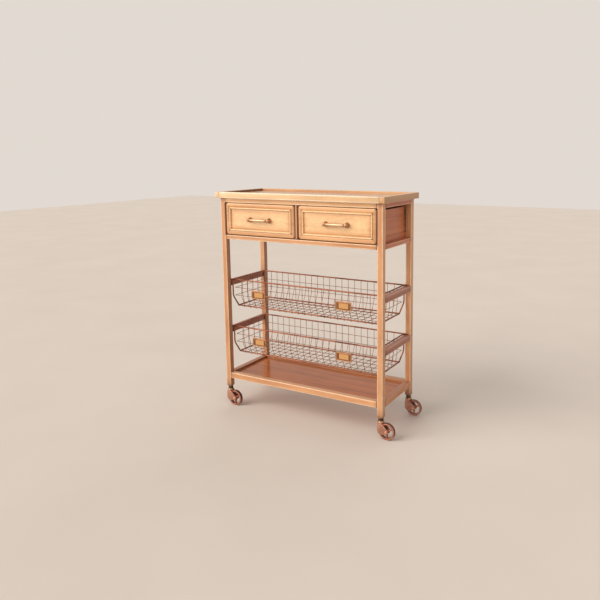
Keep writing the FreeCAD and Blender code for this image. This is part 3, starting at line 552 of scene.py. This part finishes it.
def drawer_front(side):
    """A moulded front: nested rounded rectangles whose rise follows the moulding's profile.

    From the edge in: a quarter ellipse, the flat band, a quirk, the bead, a second quirk and the
    flat field. The bead is half a sine wave to the power of three quarters, and its inner half
    also sinks towards the field by a square law. Glaze lies in the quirks and on the upright
    bands, and it thins out over 18 mm of the field. Painted shade lies most on the right and lower
    edge and on the sides in the gaps; the paler bead and round edge are partly painted highlights.
    """
    node = f"drawer_{side}_front"
    low, high = node_box(node)
    turn = np.linspace(math.pi / 2, 0, 8)
    sweep = np.linspace(0, math.pi, 13)
    bead = np.stack([BAND + 0.5 + (BEAD - 1) * sweep / math.pi,
                     (BEAD_RISE + QUIRK) * np.sin(sweep) ** 0.75 - QUIRK], axis=1)
    inner = sweep > math.pi / 2
    bead[inner, 1] -= FIELD_SINK * (sweep[inner] / (math.pi / 2) - 1) ** 2
    steps = np.concatenate([
        [[2, -FRONT_DEPTH], [0, -FRONT_DEPTH + 1]],
        np.stack([EDGE_WIDTH * (1 - np.sin(turn)), EDGE_DROP * (np.cos(turn) - 1)], axis=1),
        [[BAND - 4, 0], [BAND - 1, 0], [BAND - 0.4, -QUIRK / 2], [BAND, -QUIRK]],
        bead,
        [[FIELD, -FIELD_SINK - QUIRK], [FIELD + 0.5, -FIELD_SINK - QUIRK / 2]],
        [[FIELD + step, -FIELD_SINK] for step in FIELD_STEPS]])
    inset, rise = steps.T
    corner = np.clip(OUTER_CORNER - 0.55 * inset, INNER_CORNER, OUTER_CORNER)
    profile = np.stack([inset, inset, rise - (high[1] - FRONT_DEPTH), corner], axis=1)
    grid, mitre = nested_rings(low, high, profile)

    def near(place, strength, width):
        return strength * np.exp(-((inset - place) / width) ** 2)[:, None]

    def fading(width):
        return np.exp(-(inset - FIELD) / width)[:, None]
    on_field = (inset > FIELD)[:, None]
    reach = (high - low)[[0, 2]] / 2 - inset[:, None] - 0.6 * corner[:, None]
    off_x, off_z = (grid[..., axis] - (low + high)[axis] / 2 for axis in (0, 2))
    to_right, downwards = off_x > reach[:, :1], off_z < -reach[:, 1:]
    # Painted shade: darkest on the right edge, then on the lower edge.
    edge = np.where(to_right, near(0, *RIGHT_EDGE_PAINTED_SHADE), near(0, *EDGE_GLAZE))
    edge = np.where(downwards & ~to_right, near(0, *LOWER_EDGE_PAINTED_SHADE), edge)
    # The front's sides, in the gaps: painted shade.
    behind = np.where(rise < -FRONT_DEPTH + 0.5, BACK_GLAZE, SIDE_PAINTED_SHADE)[:, None]
    outer = np.where((rise < -EDGE_DROP - 0.5)[:, None], behind, edge)
    stile = np.where(np.abs(off_x) > reach[:, :1], STILE_GLAZE, RAIL_GLAZE)
    band = stile * ((inset < BAND) & (rise > -EDGE_DROP))[:, None]
    field = np.where(on_field, FIELD_GLAZE[0] * fading(FIELD_GLAZE[1]), 0)
    quirks = near(BAND, *OUTER_QUIRK_GLAZE) + near(FIELD, *INNER_QUIRK_GLAZE)
    moulding = ((inset > BAND - 2) & (inset < FIELD + 2))[:, None]
    glaze = np.clip(outer + band + (quirks + field) + MITRE_GLAZE * mitre * moulding, 0, 1)
    middle = np.where(on_field, FIELD_WEAR[0] * (1 - fading(FIELD_WEAR[1])), 0)
    # The bead and round edge are paler: wear and painted highlight.
    wear = near(BAND + BEAD / 2, *BEAD_WEAR_AND_HIGHLIGHT) + near(0.6 * EDGE_WIDTH, *EDGE_WEAR_AND_HIGHLIGHT) + middle
    wear = np.clip(wear, 0, 1) * (1 - MITRE_SHIELD * mitre * moulding)
    piece(f"{node}_moulded", [shell(grid, glaze=glaze, wear=wear)], front_wood, f"drawer_{side}",
          (node,), grain=X)


def round_turn(steps):
    """Even angles round a circle."""
    return np.linspace(0, 2 * math.pi, steps, endpoint=False)


def turned_form(radii, heights, origin, axis, steps=28, closed=False, **tags):
    """A turned form: each pair of a radius and a height swept round an axis through the origin.

    A tag has one value for each pair, or a row of values round the turn.
    """
    first, second = [AXES[index] for index in range(3) if index != axis]
    angle = round_turn(steps)
    spoke = np.cos(angle)[:, None] * first + np.sin(angle)[:, None] * second
    radii = np.asarray(radii, float)[:, None, None]
    heights = np.asarray(heights, float)[:, None, None]
    grid = np.asarray(origin, float) + radii * spoke + heights * AXES[axis]
    columns = {name: np.asarray(value, float).reshape(len(radii), -1)
               for name, value in tags.items()}
    return shell(grid, round_rows=closed, **columns)


# Pulls: a swelling bar between two bosses on turned feet. Rows of a foot are a height, a radius,
# a glaze and a wear.
PULL_SPACING = 80.0
PULL_FEET = (-PULL_SPACING / 2, PULL_SPACING / 2)
PULL_REACH = 12.0
PULL_FOOT = np.array([(0, 8.6, 0.8, 0), (0.6, 9, 0.4, 0), (1.6, 9, 0.1, 0.1), (2.4, 8.4, 0.3, 0),
                      (3.4, 7.4, 0.6, 0), (6, 6.6, 0.35, 0), (8.5, 6.6, 0.2, 0), (11, 7, 0.15, 0),
                      (13.2, 6.8, 0.2, 0), (14.8, 5.4, 0.35, 0.1), (15.7, 3, 0.45, 0.2),
                      (16, 0.4, 0.45, 0.2)])
BAR_STEPS = 28
BAR_SHORT = 5
BAR_NECK, BAR_SWELL = 4.1, 0.4
RING_RISE, RING_PLACE, RING_WIDTH = 0.6, 5, 1.3
SHADE_PLACE, SHADE_WIDTH = 9, 8
BAR_PAINTED_SHADE, BAR_WEAR_AND_HIGHLIGHT = 0.7, 0.8


def drawer_pull(side):
    """A pull: two turned feet that widen to a domed boss, and a bar that swells to its middle.

    The bar's radius is a narrow neck plus a cosine swell along its length, with a ring near each
    boss. Hands keep its front bright, with a painted highlight there too; painted shade darkens
    its back, top and underside, and its ends beside the bosses.
    """
    node = f"drawer_{side}_pull"
    low, high = node_box(node)
    middle = (low + high) / 2
    back = high[1]
    heights, radii, glaze, worn = PULL_FOOT.T
    skins = [turned_form(radii, -heights, (middle[0] + offset, back, middle[2]), Y, glaze=glaze,
                         wear=worn)
             for offset in PULL_FEET]
    reach = PULL_SPACING / 2 - BAR_SHORT
    along = np.linspace(-reach, reach, 41)
    past_end = np.abs(along) - reach
    swell = BAR_NECK + BAR_SWELL * np.cos(along / reach * math.pi / 2)
    swell += RING_RISE * np.exp(-((past_end + RING_PLACE) / RING_WIDTH) ** 2)
    facing = np.clip(-np.cos(round_turn(BAR_STEPS)), 0, 1) ** 0.6
    # Painted shade on the bar's ends beside the bosses and on its back, top and underside; its
    # bright front is wear and painted highlight.
    near_boss = np.clip((past_end + SHADE_PLACE) / SHADE_WIDTH, 0, 1)[:, None]
    dim = np.maximum(BAR_PAINTED_SHADE * near_boss, BAR_PAINTED_SHADE * (1 - facing))
    handled_and_lit = BAR_WEAR_AND_HIGHLIGHT * np.clip(1 - (along / reach) ** 4, 0, 1)[:, None] * facing
    skins.append(turned_form(swell, along, (middle[0], back - PULL_REACH, middle[2]), X,
                             steps=BAR_STEPS, glaze=dim, wear=handled_and_lit))
    piece(f"{node}_turned", skins, bronze, f"drawer_{side}", (node,))


SCREW_RADIUS = 4.0
SCREW_SINK, SCREW_EDGE, SCREW_DOME = 0.2, 0.8, 1.6
RECESS_RADIUS, RECESS_POINT, RECESS_HEIGHT = 1.2, 0.2, 1.6


def pull_screws(side):
    """Two pan-headed screws inside a drawer front, on the axes of the pull's feet: a low dome with
    a small recess, turned."""
    pull_low, pull_high = node_box(f"drawer_{side}_pull")
    middle = (pull_low + pull_high) / 2
    inner_face = node_box(f"drawer_{side}_front")[1][1]
    turn = np.linspace(0, math.pi / 2, 6)
    dome = SCREW_RADIUS * np.cos(turn) ** 0.6
    dome[-1] = RECESS_RADIUS
    radii = np.r_[SCREW_RADIUS, dome, RECESS_POINT]
    heights = np.r_[-SCREW_SINK, SCREW_EDGE + SCREW_DOME * np.sin(turn), RECESS_HEIGHT]
    glaze = np.linspace(0.6, 0, len(radii))
    skins = [turned_form(radii, heights, (middle[0] + offset, inner_face, middle[2]), Y, steps=20,
                         glaze=glaze)
             for offset in PULL_FEET]
    piece(f"drawer_{side}_pull_screws", skins, steel, f"drawer_{side}")


for side in SIDES:
    drawer_front(side)
    drawer_pull(side)
    pull_screws(side)


def eased_path(points, radius, steps=4):
    """A path of straight runs whose corners are rounded: each corner becomes a smooth arc between
    two points that lie the given distance from it along its runs."""
    points = np.asarray(points, float)
    share = np.linspace(0, 1, steps + 1)[:, None]
    parts = [points[:1]]
    for before, corner, after in zip(points[:-2], points[1:-1], points[2:]):
        start = corner + (before - corner) / np.linalg.norm(before - corner) * radius
        stop = corner + (after - corner) / np.linalg.norm(after - corner) * radius
        parts.append((1 - share) ** 2 * start + 2 * share * (1 - share) * corner
                     + share ** 2 * stop)
    return np.concatenate(parts + [points[-1:]])


END_ROUND = np.array([1.0, 0.6, 0.0])
END_SIZE = np.sqrt(1 - END_ROUND ** 2 * 0.96)


def wire(points, kind, across=Z_AXIS, bend=0.0):
    """A round wire: a circle carried along a path that lies in a plane, with rounded ends.

    Its kind is a radius and a number of sides. Each ring stands on the path's tangent there, and
    `across` is the direction square to the path's plane.
    """
    radius, sides = kind
    path = eased_path(points, bend) if bend else np.asarray(points, float)
    tangent = np.gradient(path, axis=0)
    tangent /= np.linalg.norm(tangent, axis=1, keepdims=True)
    start = path[0] + (radius * (1 - END_ROUND))[:, None] * tangent[0]
    stop = path[-1] - (radius * (1 - END_ROUND[::-1]))[:, None] * tangent[-1]
    centres = np.r_[start, path[1:-1], stop]
    heading = np.r_[np.repeat(tangent[:1], 3, 0), tangent[1:-1], np.repeat(tangent[-1:], 3, 0)]
    size = radius * np.r_[END_SIZE, np.ones(len(path) - 2), END_SIZE[::-1]]
    level = np.cross(across, heading)
    angle = round_turn(sides)
    circle = np.cos(angle)[:, None] * level[:, None] + np.sin(angle)[:, None] * across
    return shell(centres[:, None] + size[:, None, None] * circle)


WELD_RADIUS = 3.1
WELD_POLE = 0.02


def bead_of_weld(centre):
    """A small round weld: a circle swept round the vertical axis from pole to pole."""
    turn = np.linspace(-math.pi / 2, math.pi / 2, 7)
    return turned_form(WELD_RADIUS * np.cos(turn) + WELD_POLE, WELD_RADIUS * np.sin(turn), centre,
                       Z, steps=10)


# Baskets: thick wires round the rim, corners and bottom, thin wires on the walls and floor.
THICK, THIN = 2.5, 0.9
THICK_WIRE, THIN_WIRE = (THICK, 14), (THIN, 7)
RIM_HALF_X, RIM_HALF_Y = 295.5, 95.0
BOTTOM_HALF_X, BOTTOM_HALF_Y = 286.0, 77.0
KNEE_DROP, BASKET_DROP = 60.5, 98.0
CORNER_BEND, WALL_BEND = 9, 5
COLUMNS, ROWS = 22, 5
WALL_SLANT = 0.6
LEVEL_SHORT_X, LEVEL_SHORT_Y = 3, 1
FLOOR_PAST_Y, FLOOR_PAST_X = 0.6, 0.5


def spread(count, half):
    """Even places between two ends, without the ends."""
    return half * (2 * np.arange(1, count) / count - 1)


def basket_place(level):
    """A basket's middle along the trolley's width, the height of its rim, and half its width."""
    low, high = node_box(f"{level}_basket_frame")
    return (low[0] + high[0]) / 2, high[2] - THICK, (high[0] - low[0]) / 2


def basket_frame(level):
    """Thick wires of one basket: straight rims and bottoms, and corner wires bent at the knee."""
    node = f"{level}_basket_frame"
    middle, rim, ear = basket_place(level)
    bottom = rim - BASKET_DROP
    long_wires = ((ear, RIM_HALF_Y, rim), (BOTTOM_HALF_X + THICK, BOTTOM_HALF_Y, bottom))
    short_wires = ((RIM_HALF_X, RIM_HALF_Y, rim), (BOTTOM_HALF_X, BOTTOM_HALF_Y, bottom))
    skins = []
    for sign in (-1, 1):
        for half, y, z in long_wires:
            line = [(middle - half, sign * y, z), (middle + half, sign * y, z)]
            skins.append(wire(line, THICK_WIRE))
        for x, y, z in short_wires:
            line = [(middle + sign * x, -y, z), (middle + sign * x, y, z)]
            skins.append(wire(line, THICK_WIRE))
        for end in (-1, 1):
            top = np.array([middle + sign * RIM_HALF_X, end * RIM_HALF_Y, rim])
            knee = top - KNEE_DROP * Z_AXIS
            foot = np.array([middle + sign * BOTTOM_HALF_X, end * BOTTOM_HALF_Y, bottom])
            across = np.cross(Z_AXIS, foot - knee)
            skins.append(wire([top, knee, foot], THICK_WIRE, across / np.linalg.norm(across),
                              bend=CORNER_BEND))
            skins += [bead_of_weld(top), bead_of_weld(foot)]
    piece(f"{node}_wires", skins, copper_wire, "frame", (node,))


def basket_mesh(level):
    """Thin wires of one basket: wall wires bent at the knee, level wires inside them, and a floor
    grid."""
    node = f"{level}_basket_mesh"
    middle, rim, _ = basket_place(level)
    centre = np.array([middle, 0, rim])
    columns, rows = spread(COLUMNS, BOTTOM_HALF_X), spread(ROWS, BOTTOM_HALF_Y)
    wall_y = RIM_HALF_Y - THICK - THIN
    wall_x = RIM_HALF_X - THICK - THIN
    walls = ((Y_AXIS, X_AXIS, wall_y, BOTTOM_HALF_Y - WALL_SLANT, columns, wall_x - LEVEL_SHORT_X),
             (X_AXIS, Y_AXIS, wall_x, BOTTOM_HALF_X - WALL_SLANT, rows, wall_y - LEVEL_SHORT_Y))
    skins = []
    for outward, along, out, foot, places, half in walls:
        for sign in (-1, 1):
            line = np.array([sign * out * outward + 0.4 * THICK * Z_AXIS,
                             sign * out * outward - KNEE_DROP * Z_AXIS,
                             sign * foot * outward - (BASKET_DROP - THICK) * Z_AXIS])
            skins += [wire(centre + line + place * along, THIN_WIRE, along, bend=WALL_BEND)
                      for place in places]
            for drop in (KNEE_DROP / 2, KNEE_DROP - 2 * THIN):
                spot = centre + sign * (out - 2 * THIN) * outward - drop * Z_AXIS
                skins.append(wire([spot - half * along, spot + half * along], THIN_WIRE))
    floor = rim - BASKET_DROP - THICK - THIN
    over = floor + 2 * THIN
    reach_y = BOTTOM_HALF_Y + THICK + FLOOR_PAST_Y
    reach_x = BOTTOM_HALF_X - THICK + FLOOR_PAST_X
    lines = [[(middle + place, -reach_y, floor), (middle + place, reach_y, floor)]
             for place in columns]
    lines += [[(middle - reach_x, place, over), (middle + reach_x, place, over)]
              for place in rows]
    skins += [wire(line, THIN_WIRE) for line in lines]
    piece(f"{node}_wires", skins, thin_copper_wire, "frame", (node,))


for level in LEVELS:
    basket_frame(level)
    basket_mesh(level)

# Label holders: pressed frames with a rolled border round a window. Rows are two insets and a
# rise.
HOLDER_SIZE = (60.0, 30.0)
HOLDER_DEPTH = 2.4
HOLDER_CORNER, WINDOW_CORNER = 3.2, 0.8
ROLL_RADIUS, ROLL_START, ROLL_RISE = 1.5, 1.6, 0.8
HOLDER_FRONT = np.array([(3.4, 3.4, 1.8), (9.5, 5, 1.8), (10.4, 5.4, 2.1), (11.2, 5.8, 1.8),
                         (11.5, 6, 1.5)])
HOLDER_BEHIND = np.array([(11.5, 6, 1.25), (3.2, 3.2, 1.25), (2.9, 2.9, 0.2), (2.4, 2.4, 0),
                          (0.5, 0.5, 0), (0, 0, 0.5)])
WINDOW_PAINTED_SHADOW, HIDDEN_PAINTED_SHADE, FACE_GLAZE = 0.85, 0.5, 0.1
ROLL_WEAR = 0.7
LABEL_PLACES = (-184.0, 162.0)
LABEL_DROP = 49.0


def label_holder(left, bottom, back):
    """One holder: a pressed profile carried round a rounded rectangle.

    From the back of the outer edge: up, over a rolled border, down to the flat round the window,
    through the window's edge, and back behind to the lip that keeps the card.
    """
    low = np.array([left, back - HOLDER_DEPTH, bottom])
    high = np.array([left + HOLDER_SIZE[0], back, bottom + HOLDER_SIZE[1]])
    roll = np.linspace(math.pi, 0, 7)
    reach = ROLL_RADIUS + ROLL_RADIUS * np.cos(roll)
    border = np.stack([reach, reach, ROLL_START + ROLL_RISE * np.sin(roll)], axis=1)
    inset_x, inset_z, rise = np.r_[border, HOLDER_FRONT, HOLDER_BEHIND].T
    corner = np.clip(HOLDER_CORNER - 0.4 * inset_z, WINDOW_CORNER, HOLDER_CORNER)
    grid, _ = nested_rings(low, high, np.stack([inset_x, inset_z, rise - back, corner], axis=1))
    # Painted shade behind the holder, and a painted shadow at the window's edge round the card.
    hidden = np.where((rise < 1.3) | (inset_x > 9), HIDDEN_PAINTED_SHADE, FACE_GLAZE)
    glaze = np.where(inset_x > 10, WINDOW_PAINTED_SHADOW, hidden)
    wear = np.where((rise > 2) & (inset_z < 3), ROLL_WEAR, 0)
    return shell(grid, round_rows=True, glaze=glaze[:, None], wear=wear[:, None])


holders = []
for level in LEVELS:
    middle, rim, _ = basket_place(level)
    holders += [label_holder(middle + place - HOLDER_SIZE[0] / 2,
                             rim - LABEL_DROP - HOLDER_SIZE[1] / 2, THICK - RIM_HALF_Y)
                for place in LABEL_PLACES]
piece("label_holders_pressed", holders, brass, "frame", ("label_holders",))

# Casters: spoked wheels in forks whose stems turn in the posts.
WHEEL_RADIUS = 28.0
WHEEL_HALF = 6.5
RIM_DEPTH = 5.5
RIM_ROUND, RIM_MARGIN = 1.6, 1.2
TREAD_BULGE = 0.3
TREAD_DARKENING, RIM_FACE_GLAZE, RIM_INSIDE_PAINTED_SHADE = 0.75, 0.05, 0.5
RIM_WEAR = 0.4
HUB_RADIUS, HUB_HALF = 5.55, 2.45
HUB_ROUND, HUB_MARGIN = 1.0, 0.8
HUB_PAINTED_SHADE = 0.35
SPOKES = 3
SPOKE_START, SPOKE_RUN = 6.8, 16.6
SPOKE_WIDE, SPOKE_DEEP = (2.5, 1.4), (4.6, 1.2)
SPOKE_END_PAINTED_SHADE = 0.5


def caster_wheel(end, side):
    """A spoked wheel: a rim and a hub section swept round the axle, and three oval spokes.

    The tread bulges by a square law across its width. A spoke is an ellipse carried out from hub
    to rim, wider towards both by a square law.
    """
    node = f"caster_{end}_{side}_wheel"
    low, high = node_box(node)
    centre = (low + high) / 2
    across, up, edge = rounded_loop(RIM_DEPTH / 2, WHEEL_HALF, RIM_ROUND, RIM_MARGIN)
    radii = (WHEEL_RADIUS - RIM_DEPTH / 2 - TREAD_BULGE + across
             + TREAD_BULGE * (1 - (up / WHEEL_HALF) ** 2))
    # The tread is darker; painted shade darkens the rim's inside, the hub and the spokes' ends.
    tread = np.where(across > RIM_DEPTH / 2 - 0.6, TREAD_DARKENING, RIM_FACE_GLAZE)
    dim = np.where(across < 0, RIM_INSIDE_PAINTED_SHADE, tread)
    skins = [turned_form(radii, up, centre, Y, steps=56, closed=True, glaze=dim,
                         wear=RIM_WEAR * edge)]
    across, up, _ = rounded_loop(HUB_HALF, WHEEL_HALF, HUB_ROUND, HUB_MARGIN)
    skins.append(turned_form(HUB_RADIUS + across, up, centre, Y, steps=32, closed=True,
                             glaze=np.full(len(up), HUB_PAINTED_SHADE)))
    share = np.linspace(0, 1, 9)[:, None]
    from_middle = (2 * share - 1) ** 2
    run = SPOKE_START + SPOKE_RUN * share
    wide, deep = (least + more * from_middle for least, more in (SPOKE_WIDE, SPOKE_DEEP))
    angle = round_turn(16)
    for turn in range(SPOKES):
        bearing = 2 * math.pi * turn / SPOKES - math.pi / 2
        out = np.array([math.cos(bearing), 0, math.sin(bearing)])
        aside = np.array([-math.sin(bearing), 0, math.cos(bearing)])
        grid = (centre + run[..., None] * out + (wide * np.cos(angle))[..., None] * aside
                + (deep * np.sin(angle))[..., None] * Y_AXIS)
        # Painted shade at the spokes' ends, where they meet hub and rim.
        skins.append(shell(grid, glaze=SPOKE_END_PAINTED_SHADE * from_middle))
    piece(f"{node}_turned", skins, wheel_copper, f"wheel_{end}_{side}", (node,))


PLATE_STEPS = 56
PLATE_GLAZE = 0.35
EASE_STEPS = np.array([0, 0.3, 1])


def plate_of_circles(circles, low_y, high_y, ease, origin):
    """A plate whose outline wraps round several circles: on each bearing, the point of the circle
    that reaches furthest. Its edges draw in by a quarter round on both faces."""
    bearing = round_turn(PLATE_STEPS)
    ray = np.stack([np.cos(bearing), np.sin(bearing)], axis=1)
    centres = np.array([(x, z) for x, z, _ in circles])
    radii = np.array([radius for _, _, radius in circles])
    furthest = np.argmax(ray @ centres.T + radii, axis=1)
    inset = ease * np.r_[EASE_STEPS[::-1], EASE_STEPS][:, None]
    height = np.r_[low_y + ease * EASE_STEPS, high_y - ease * EASE_STEPS[::-1]]
    reach = radii[furthest] - inset
    grid = np.empty((len(height), PLATE_STEPS, 3))
    grid[..., 0] = origin[0] + centres[furthest, 0] + reach * ray[:, 0]
    grid[..., 1] = origin[1] + height[:, None]
    grid[..., 2] = centres[furthest, 1] + reach * ray[:, 1]
    return shell(grid, glaze=np.where(inset > 0, PLATE_GLAZE, 0.0))


# Forks: circles are a place beside the swivel axis, a height and a radius; rows of a stem are a
# radius, a height, a glaze and a wear. On the collar the wear is a painted highlight across its
# middle band, and the darkening where the stem meets the fork is painted shade.
TRAIL = 21.5
COLLAR_RADIUS = 11.5
CHEEK = ((0, 48.0, 10.0), (3.0, 30.0, 13.0), (TRAIL, WHEEL_RADIUS, 8.0))
BRIDGE = ((-3.9, 51.6, 4.68), (1.5, 54.5, 2.7), (-8, 46.5, 1.8))
CHEEK_INNER, CHEEK_OUTER = 8.0, 10.0
CHEEK_EASE, BRIDGE_EASE = 0.6, 0.3
BRIDGE_OVERLAP = 0.5
AXLE_RADIUS, CAP_RADIUS, CAP_POINT = 3, 5.5, 0.3
CAP_SINK, CAP_EDGE, CAP_DOME = 0.1, 0.4, 1.6
# Stem rows: a painted highlight across the collar's band, and painted shade where it meets the
# fork.
CASTER_STEM = [(5.6, 54, 1, 0), (6, 55.2, 1, 0), (9.5, 55.4, 0.8, 0.2), (11, 55.7, 0.3, 0.6),
               (11.45, 56.2, 0, 0.8), (11.45, 58.6, 0, 0.8), (11.2, 59.3, 0, 0.7),
               (10.5, 59.9, 0.1, 0.55), (9.7, 60.8, 0.2, 0.4), (9, 62, 0.4, 0.2),
               (8.5, 63.5, 0.7, 0.05), (8.2, 65.2, 0.8, 0), (8.3, 67.5, 0.5, 0),
               (8.8, 68.5, 0.3, 0.1), (8.8, 70.8, 0.2, 0.1), (8.2, 71.6, 0.6, 0),
               (6, 71.6, 0.6, 0), (6, 101, 0.6, 0)]
STEM_TIP_RADIUS, STEM_TIP_GLAZE = 5.4, 0.6


def caster_fork(end, side):
    """A fork and its stem: two cheeks wrapped round crown and axle boss, a bridge between them, a
    domed axle, and a stem with a flared collar, turned on the swivel axis."""
    node = f"caster_{end}_{side}_fork"
    low, high = node_box(node)
    origin = (low[0] + COLLAR_RADIUS, (low[1] + high[1]) / 2)
    skins = [plate_of_circles(CHEEK, CHEEK_INNER, CHEEK_OUTER, CHEEK_EASE, origin),
             plate_of_circles(CHEEK, -CHEEK_OUTER, -CHEEK_INNER, CHEEK_EASE, origin),
             plate_of_circles(BRIDGE, -CHEEK_INNER - BRIDGE_OVERLAP, CHEEK_INNER + BRIDGE_OVERLAP,
                              BRIDGE_EASE, origin)]
    dome = np.linspace(0, math.pi / 2, 5)
    cap_radii = CAP_RADIUS * np.cos(dome) ** 0.5
    cap_radii[-1] = CAP_POINT
    cap_heights = CHEEK_OUTER + CAP_EDGE + CAP_DOME * np.sin(dome)
    half_radii = np.r_[AXLE_RADIUS, CAP_RADIUS, cap_radii]
    half_heights = np.r_[[CHEEK_OUTER - CAP_SINK] * 2, cap_heights]
    axle = (origin[0] + TRAIL, origin[1], WHEEL_RADIUS)
    skins.append(turned_form(np.r_[half_radii[::-1], half_radii],
                             np.r_[-half_heights[::-1], half_heights], axle, Y, steps=20))
    body = f"caster_{end}_{side}"
    piece(f"{node}_bent", skins, fork_copper, body, (node,))
    rows = CASTER_STEM + [(STEM_TIP_RADIUS, high[2], STEM_TIP_GLAZE, 0)]
    radii, heights, glaze, wear = zip(*rows)
    stem = turned_form(radii, heights, (*origin, 0), Z, glaze=glaze, wear=wear)
    piece(f"caster_{end}_{side}_stem", [stem], dark_bronze, body)


for end in ENDS:
    for side in SIDES:
        caster_wheel(end, side)
        caster_fork(end, side)

# Boards that stay as they are in the solid model.
BOARDS = {"tray_floor": tray_board, "shelf_floor": shelf_board, "case_back": inner_wood_x,
          "drawer_runners": side_board, "shelf_cleats": inner_wood_x, "label_cards": card}
for side in SIDES:
    BOARDS[f"drawer_{side}_sides"] = side_board
    BOARDS[f"drawer_{side}_bottom"] = inner_wood_x
    BOARDS[f"drawer_{side}_back"] = inner_wood_x
for node, material in BOARDS.items():
    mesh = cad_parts[node].data
    mesh.materials.clear()
    mesh.materials.append(material)

# Stage: a plain pale floor under soft light from the left in front.
FLOOR_REACH = 9000.0
FLOOR_CLOUD = 400
floor_material, floor_tree = new_material("pale_matt_floor")
floor_source = (add(floor_tree, "TexCoord"), "Object")
floor_clouds = add(floor_tree, "TexNoise", {"Vector": floor_source,
                                            "Scale": 1 / (FLOOR_CLOUD * MM), "Detail": 2.0})
floor_tone = add(floor_tree, "ValToRGB", {"Fac": (floor_clouds, "Fac")},
                 stops=[(0.3, linear("#DED6CE")), (0.7, linear("#E2DAD2"))])
floor_skin = add(floor_tree, "BsdfPrincipled", {"Base Color": (floor_tone, "Color"),
                                                "Roughness": 0.9, "Specular IOR Level": 0.2})
add(floor_tree, "OutputMaterial", {"Surface": (floor_skin, "BSDF")})
floor_edge = np.array([-FLOOR_REACH, FLOOR_REACH]) * MM
floor_mesh = bpy.data.meshes.new("floor")
floor_mesh.from_pydata([(x, y, 0.0) for y in floor_edge for x in floor_edge], [], [(0, 1, 3, 2)])
floor_mesh.materials.append(floor_material)
floor = placed("floor", floor_mesh)


def soft_sun(name, bearing, height, width, strength, tone, mirrored=True):
    """Even light from one side: its bearing from the front to the left, height and width are in
    degrees. One that isn't mirrored only fills the shade: glossy surfaces don't show it."""
    lamp = bpy.data.lights.new(name, "SUN")
    lamp.angle = math.radians(width)
    lamp.energy = strength
    lamp.color = linear(tone)[:3]
    made = placed(name, lamp)
    made.rotation_euler = (math.radians(90 - height), 0, math.radians(-bearing))
    made.visible_glossy = mirrored


soft_sun("window_light", 36, 31, 50, 2.35, "#FFF6EC")
soft_sun("window_glint", 50, 8, 26, 0.6, "#FFF8F0")
soft_sun("room_light_right", -48, 25, 60, 0.55, "#FFF6F0")
soft_sun("room_light_back", 170, 40, 60, 0.5, "#FFF8F2", mirrored=False)

# Room: a pale backdrop where it is seen, and a weaker even light.
world = bpy.data.worlds.new("pale_room")
scene.world = world
world.use_nodes = True
sky = world.node_tree
sky.nodes.clear()
rays = add(sky, "LightPath")
seen = add(sky, "Math", {0: (rays, "Is Camera Ray"), 1: (rays, "Is Glossy Ray")},
           operation="MAXIMUM")
shown = add(sky, "Math", {0: (seen, "Value"), 1: (rays, "Is Transmission Ray")},
            operation="MAXIMUM")
room_light = add(sky, "Background", {"Color": linear("#F2EAE2"), "Strength": 0.42})
backdrop = add(sky, "Background", {"Color": linear("#E2DAD2"), "Strength": 1.0})
mixed = add(sky, "MixShader", {"Fac": (shown, "Value"), 1: (room_light, "Background"),
                               2: (backdrop, "Background")})
add(sky, "OutputWorld", {"Surface": (mixed, "Shader")})

# Camera: where the picture's straight edges place it.
FOCAL_PIXELS = 629.04
PICTURE = 600.0
AIM_U, AIM_V = 352.04, 246.32
YAW, PITCH, ROLL = 0.50067, 0.14558, -0.00524
CAMERA_PLACE = np.array([1142.2, -1848.0, 913.8]) * MM
SENSOR = 36.0
heading = np.array([-math.sin(YAW) * math.cos(PITCH), math.cos(YAW) * math.cos(PITCH),
                    -math.sin(PITCH)])
level = np.array([math.cos(YAW), math.sin(YAW), 0.0])
upward = np.cross(level, heading)
right = level * math.cos(ROLL) + upward * math.sin(ROLL)
top = upward * math.cos(ROLL) - level * math.sin(ROLL)
pose = np.eye(4)
pose[:3] = np.stack([right, top, -heading, CAMERA_PLACE], axis=1)
lens = bpy.data.cameras.new("camera")
lens.sensor_width = SENSOR
lens.lens = FOCAL_PIXELS * SENSOR / PICTURE
lens.shift_x = (PICTURE / 2 - AIM_U) / PICTURE
lens.shift_y = (AIM_V - PICTURE / 2) / PICTURE
camera = placed("camera", lens)
camera.matrix_world = pose.T.tolist()
scene.camera = camera
scene.view_settings.view_transform = "Standard"
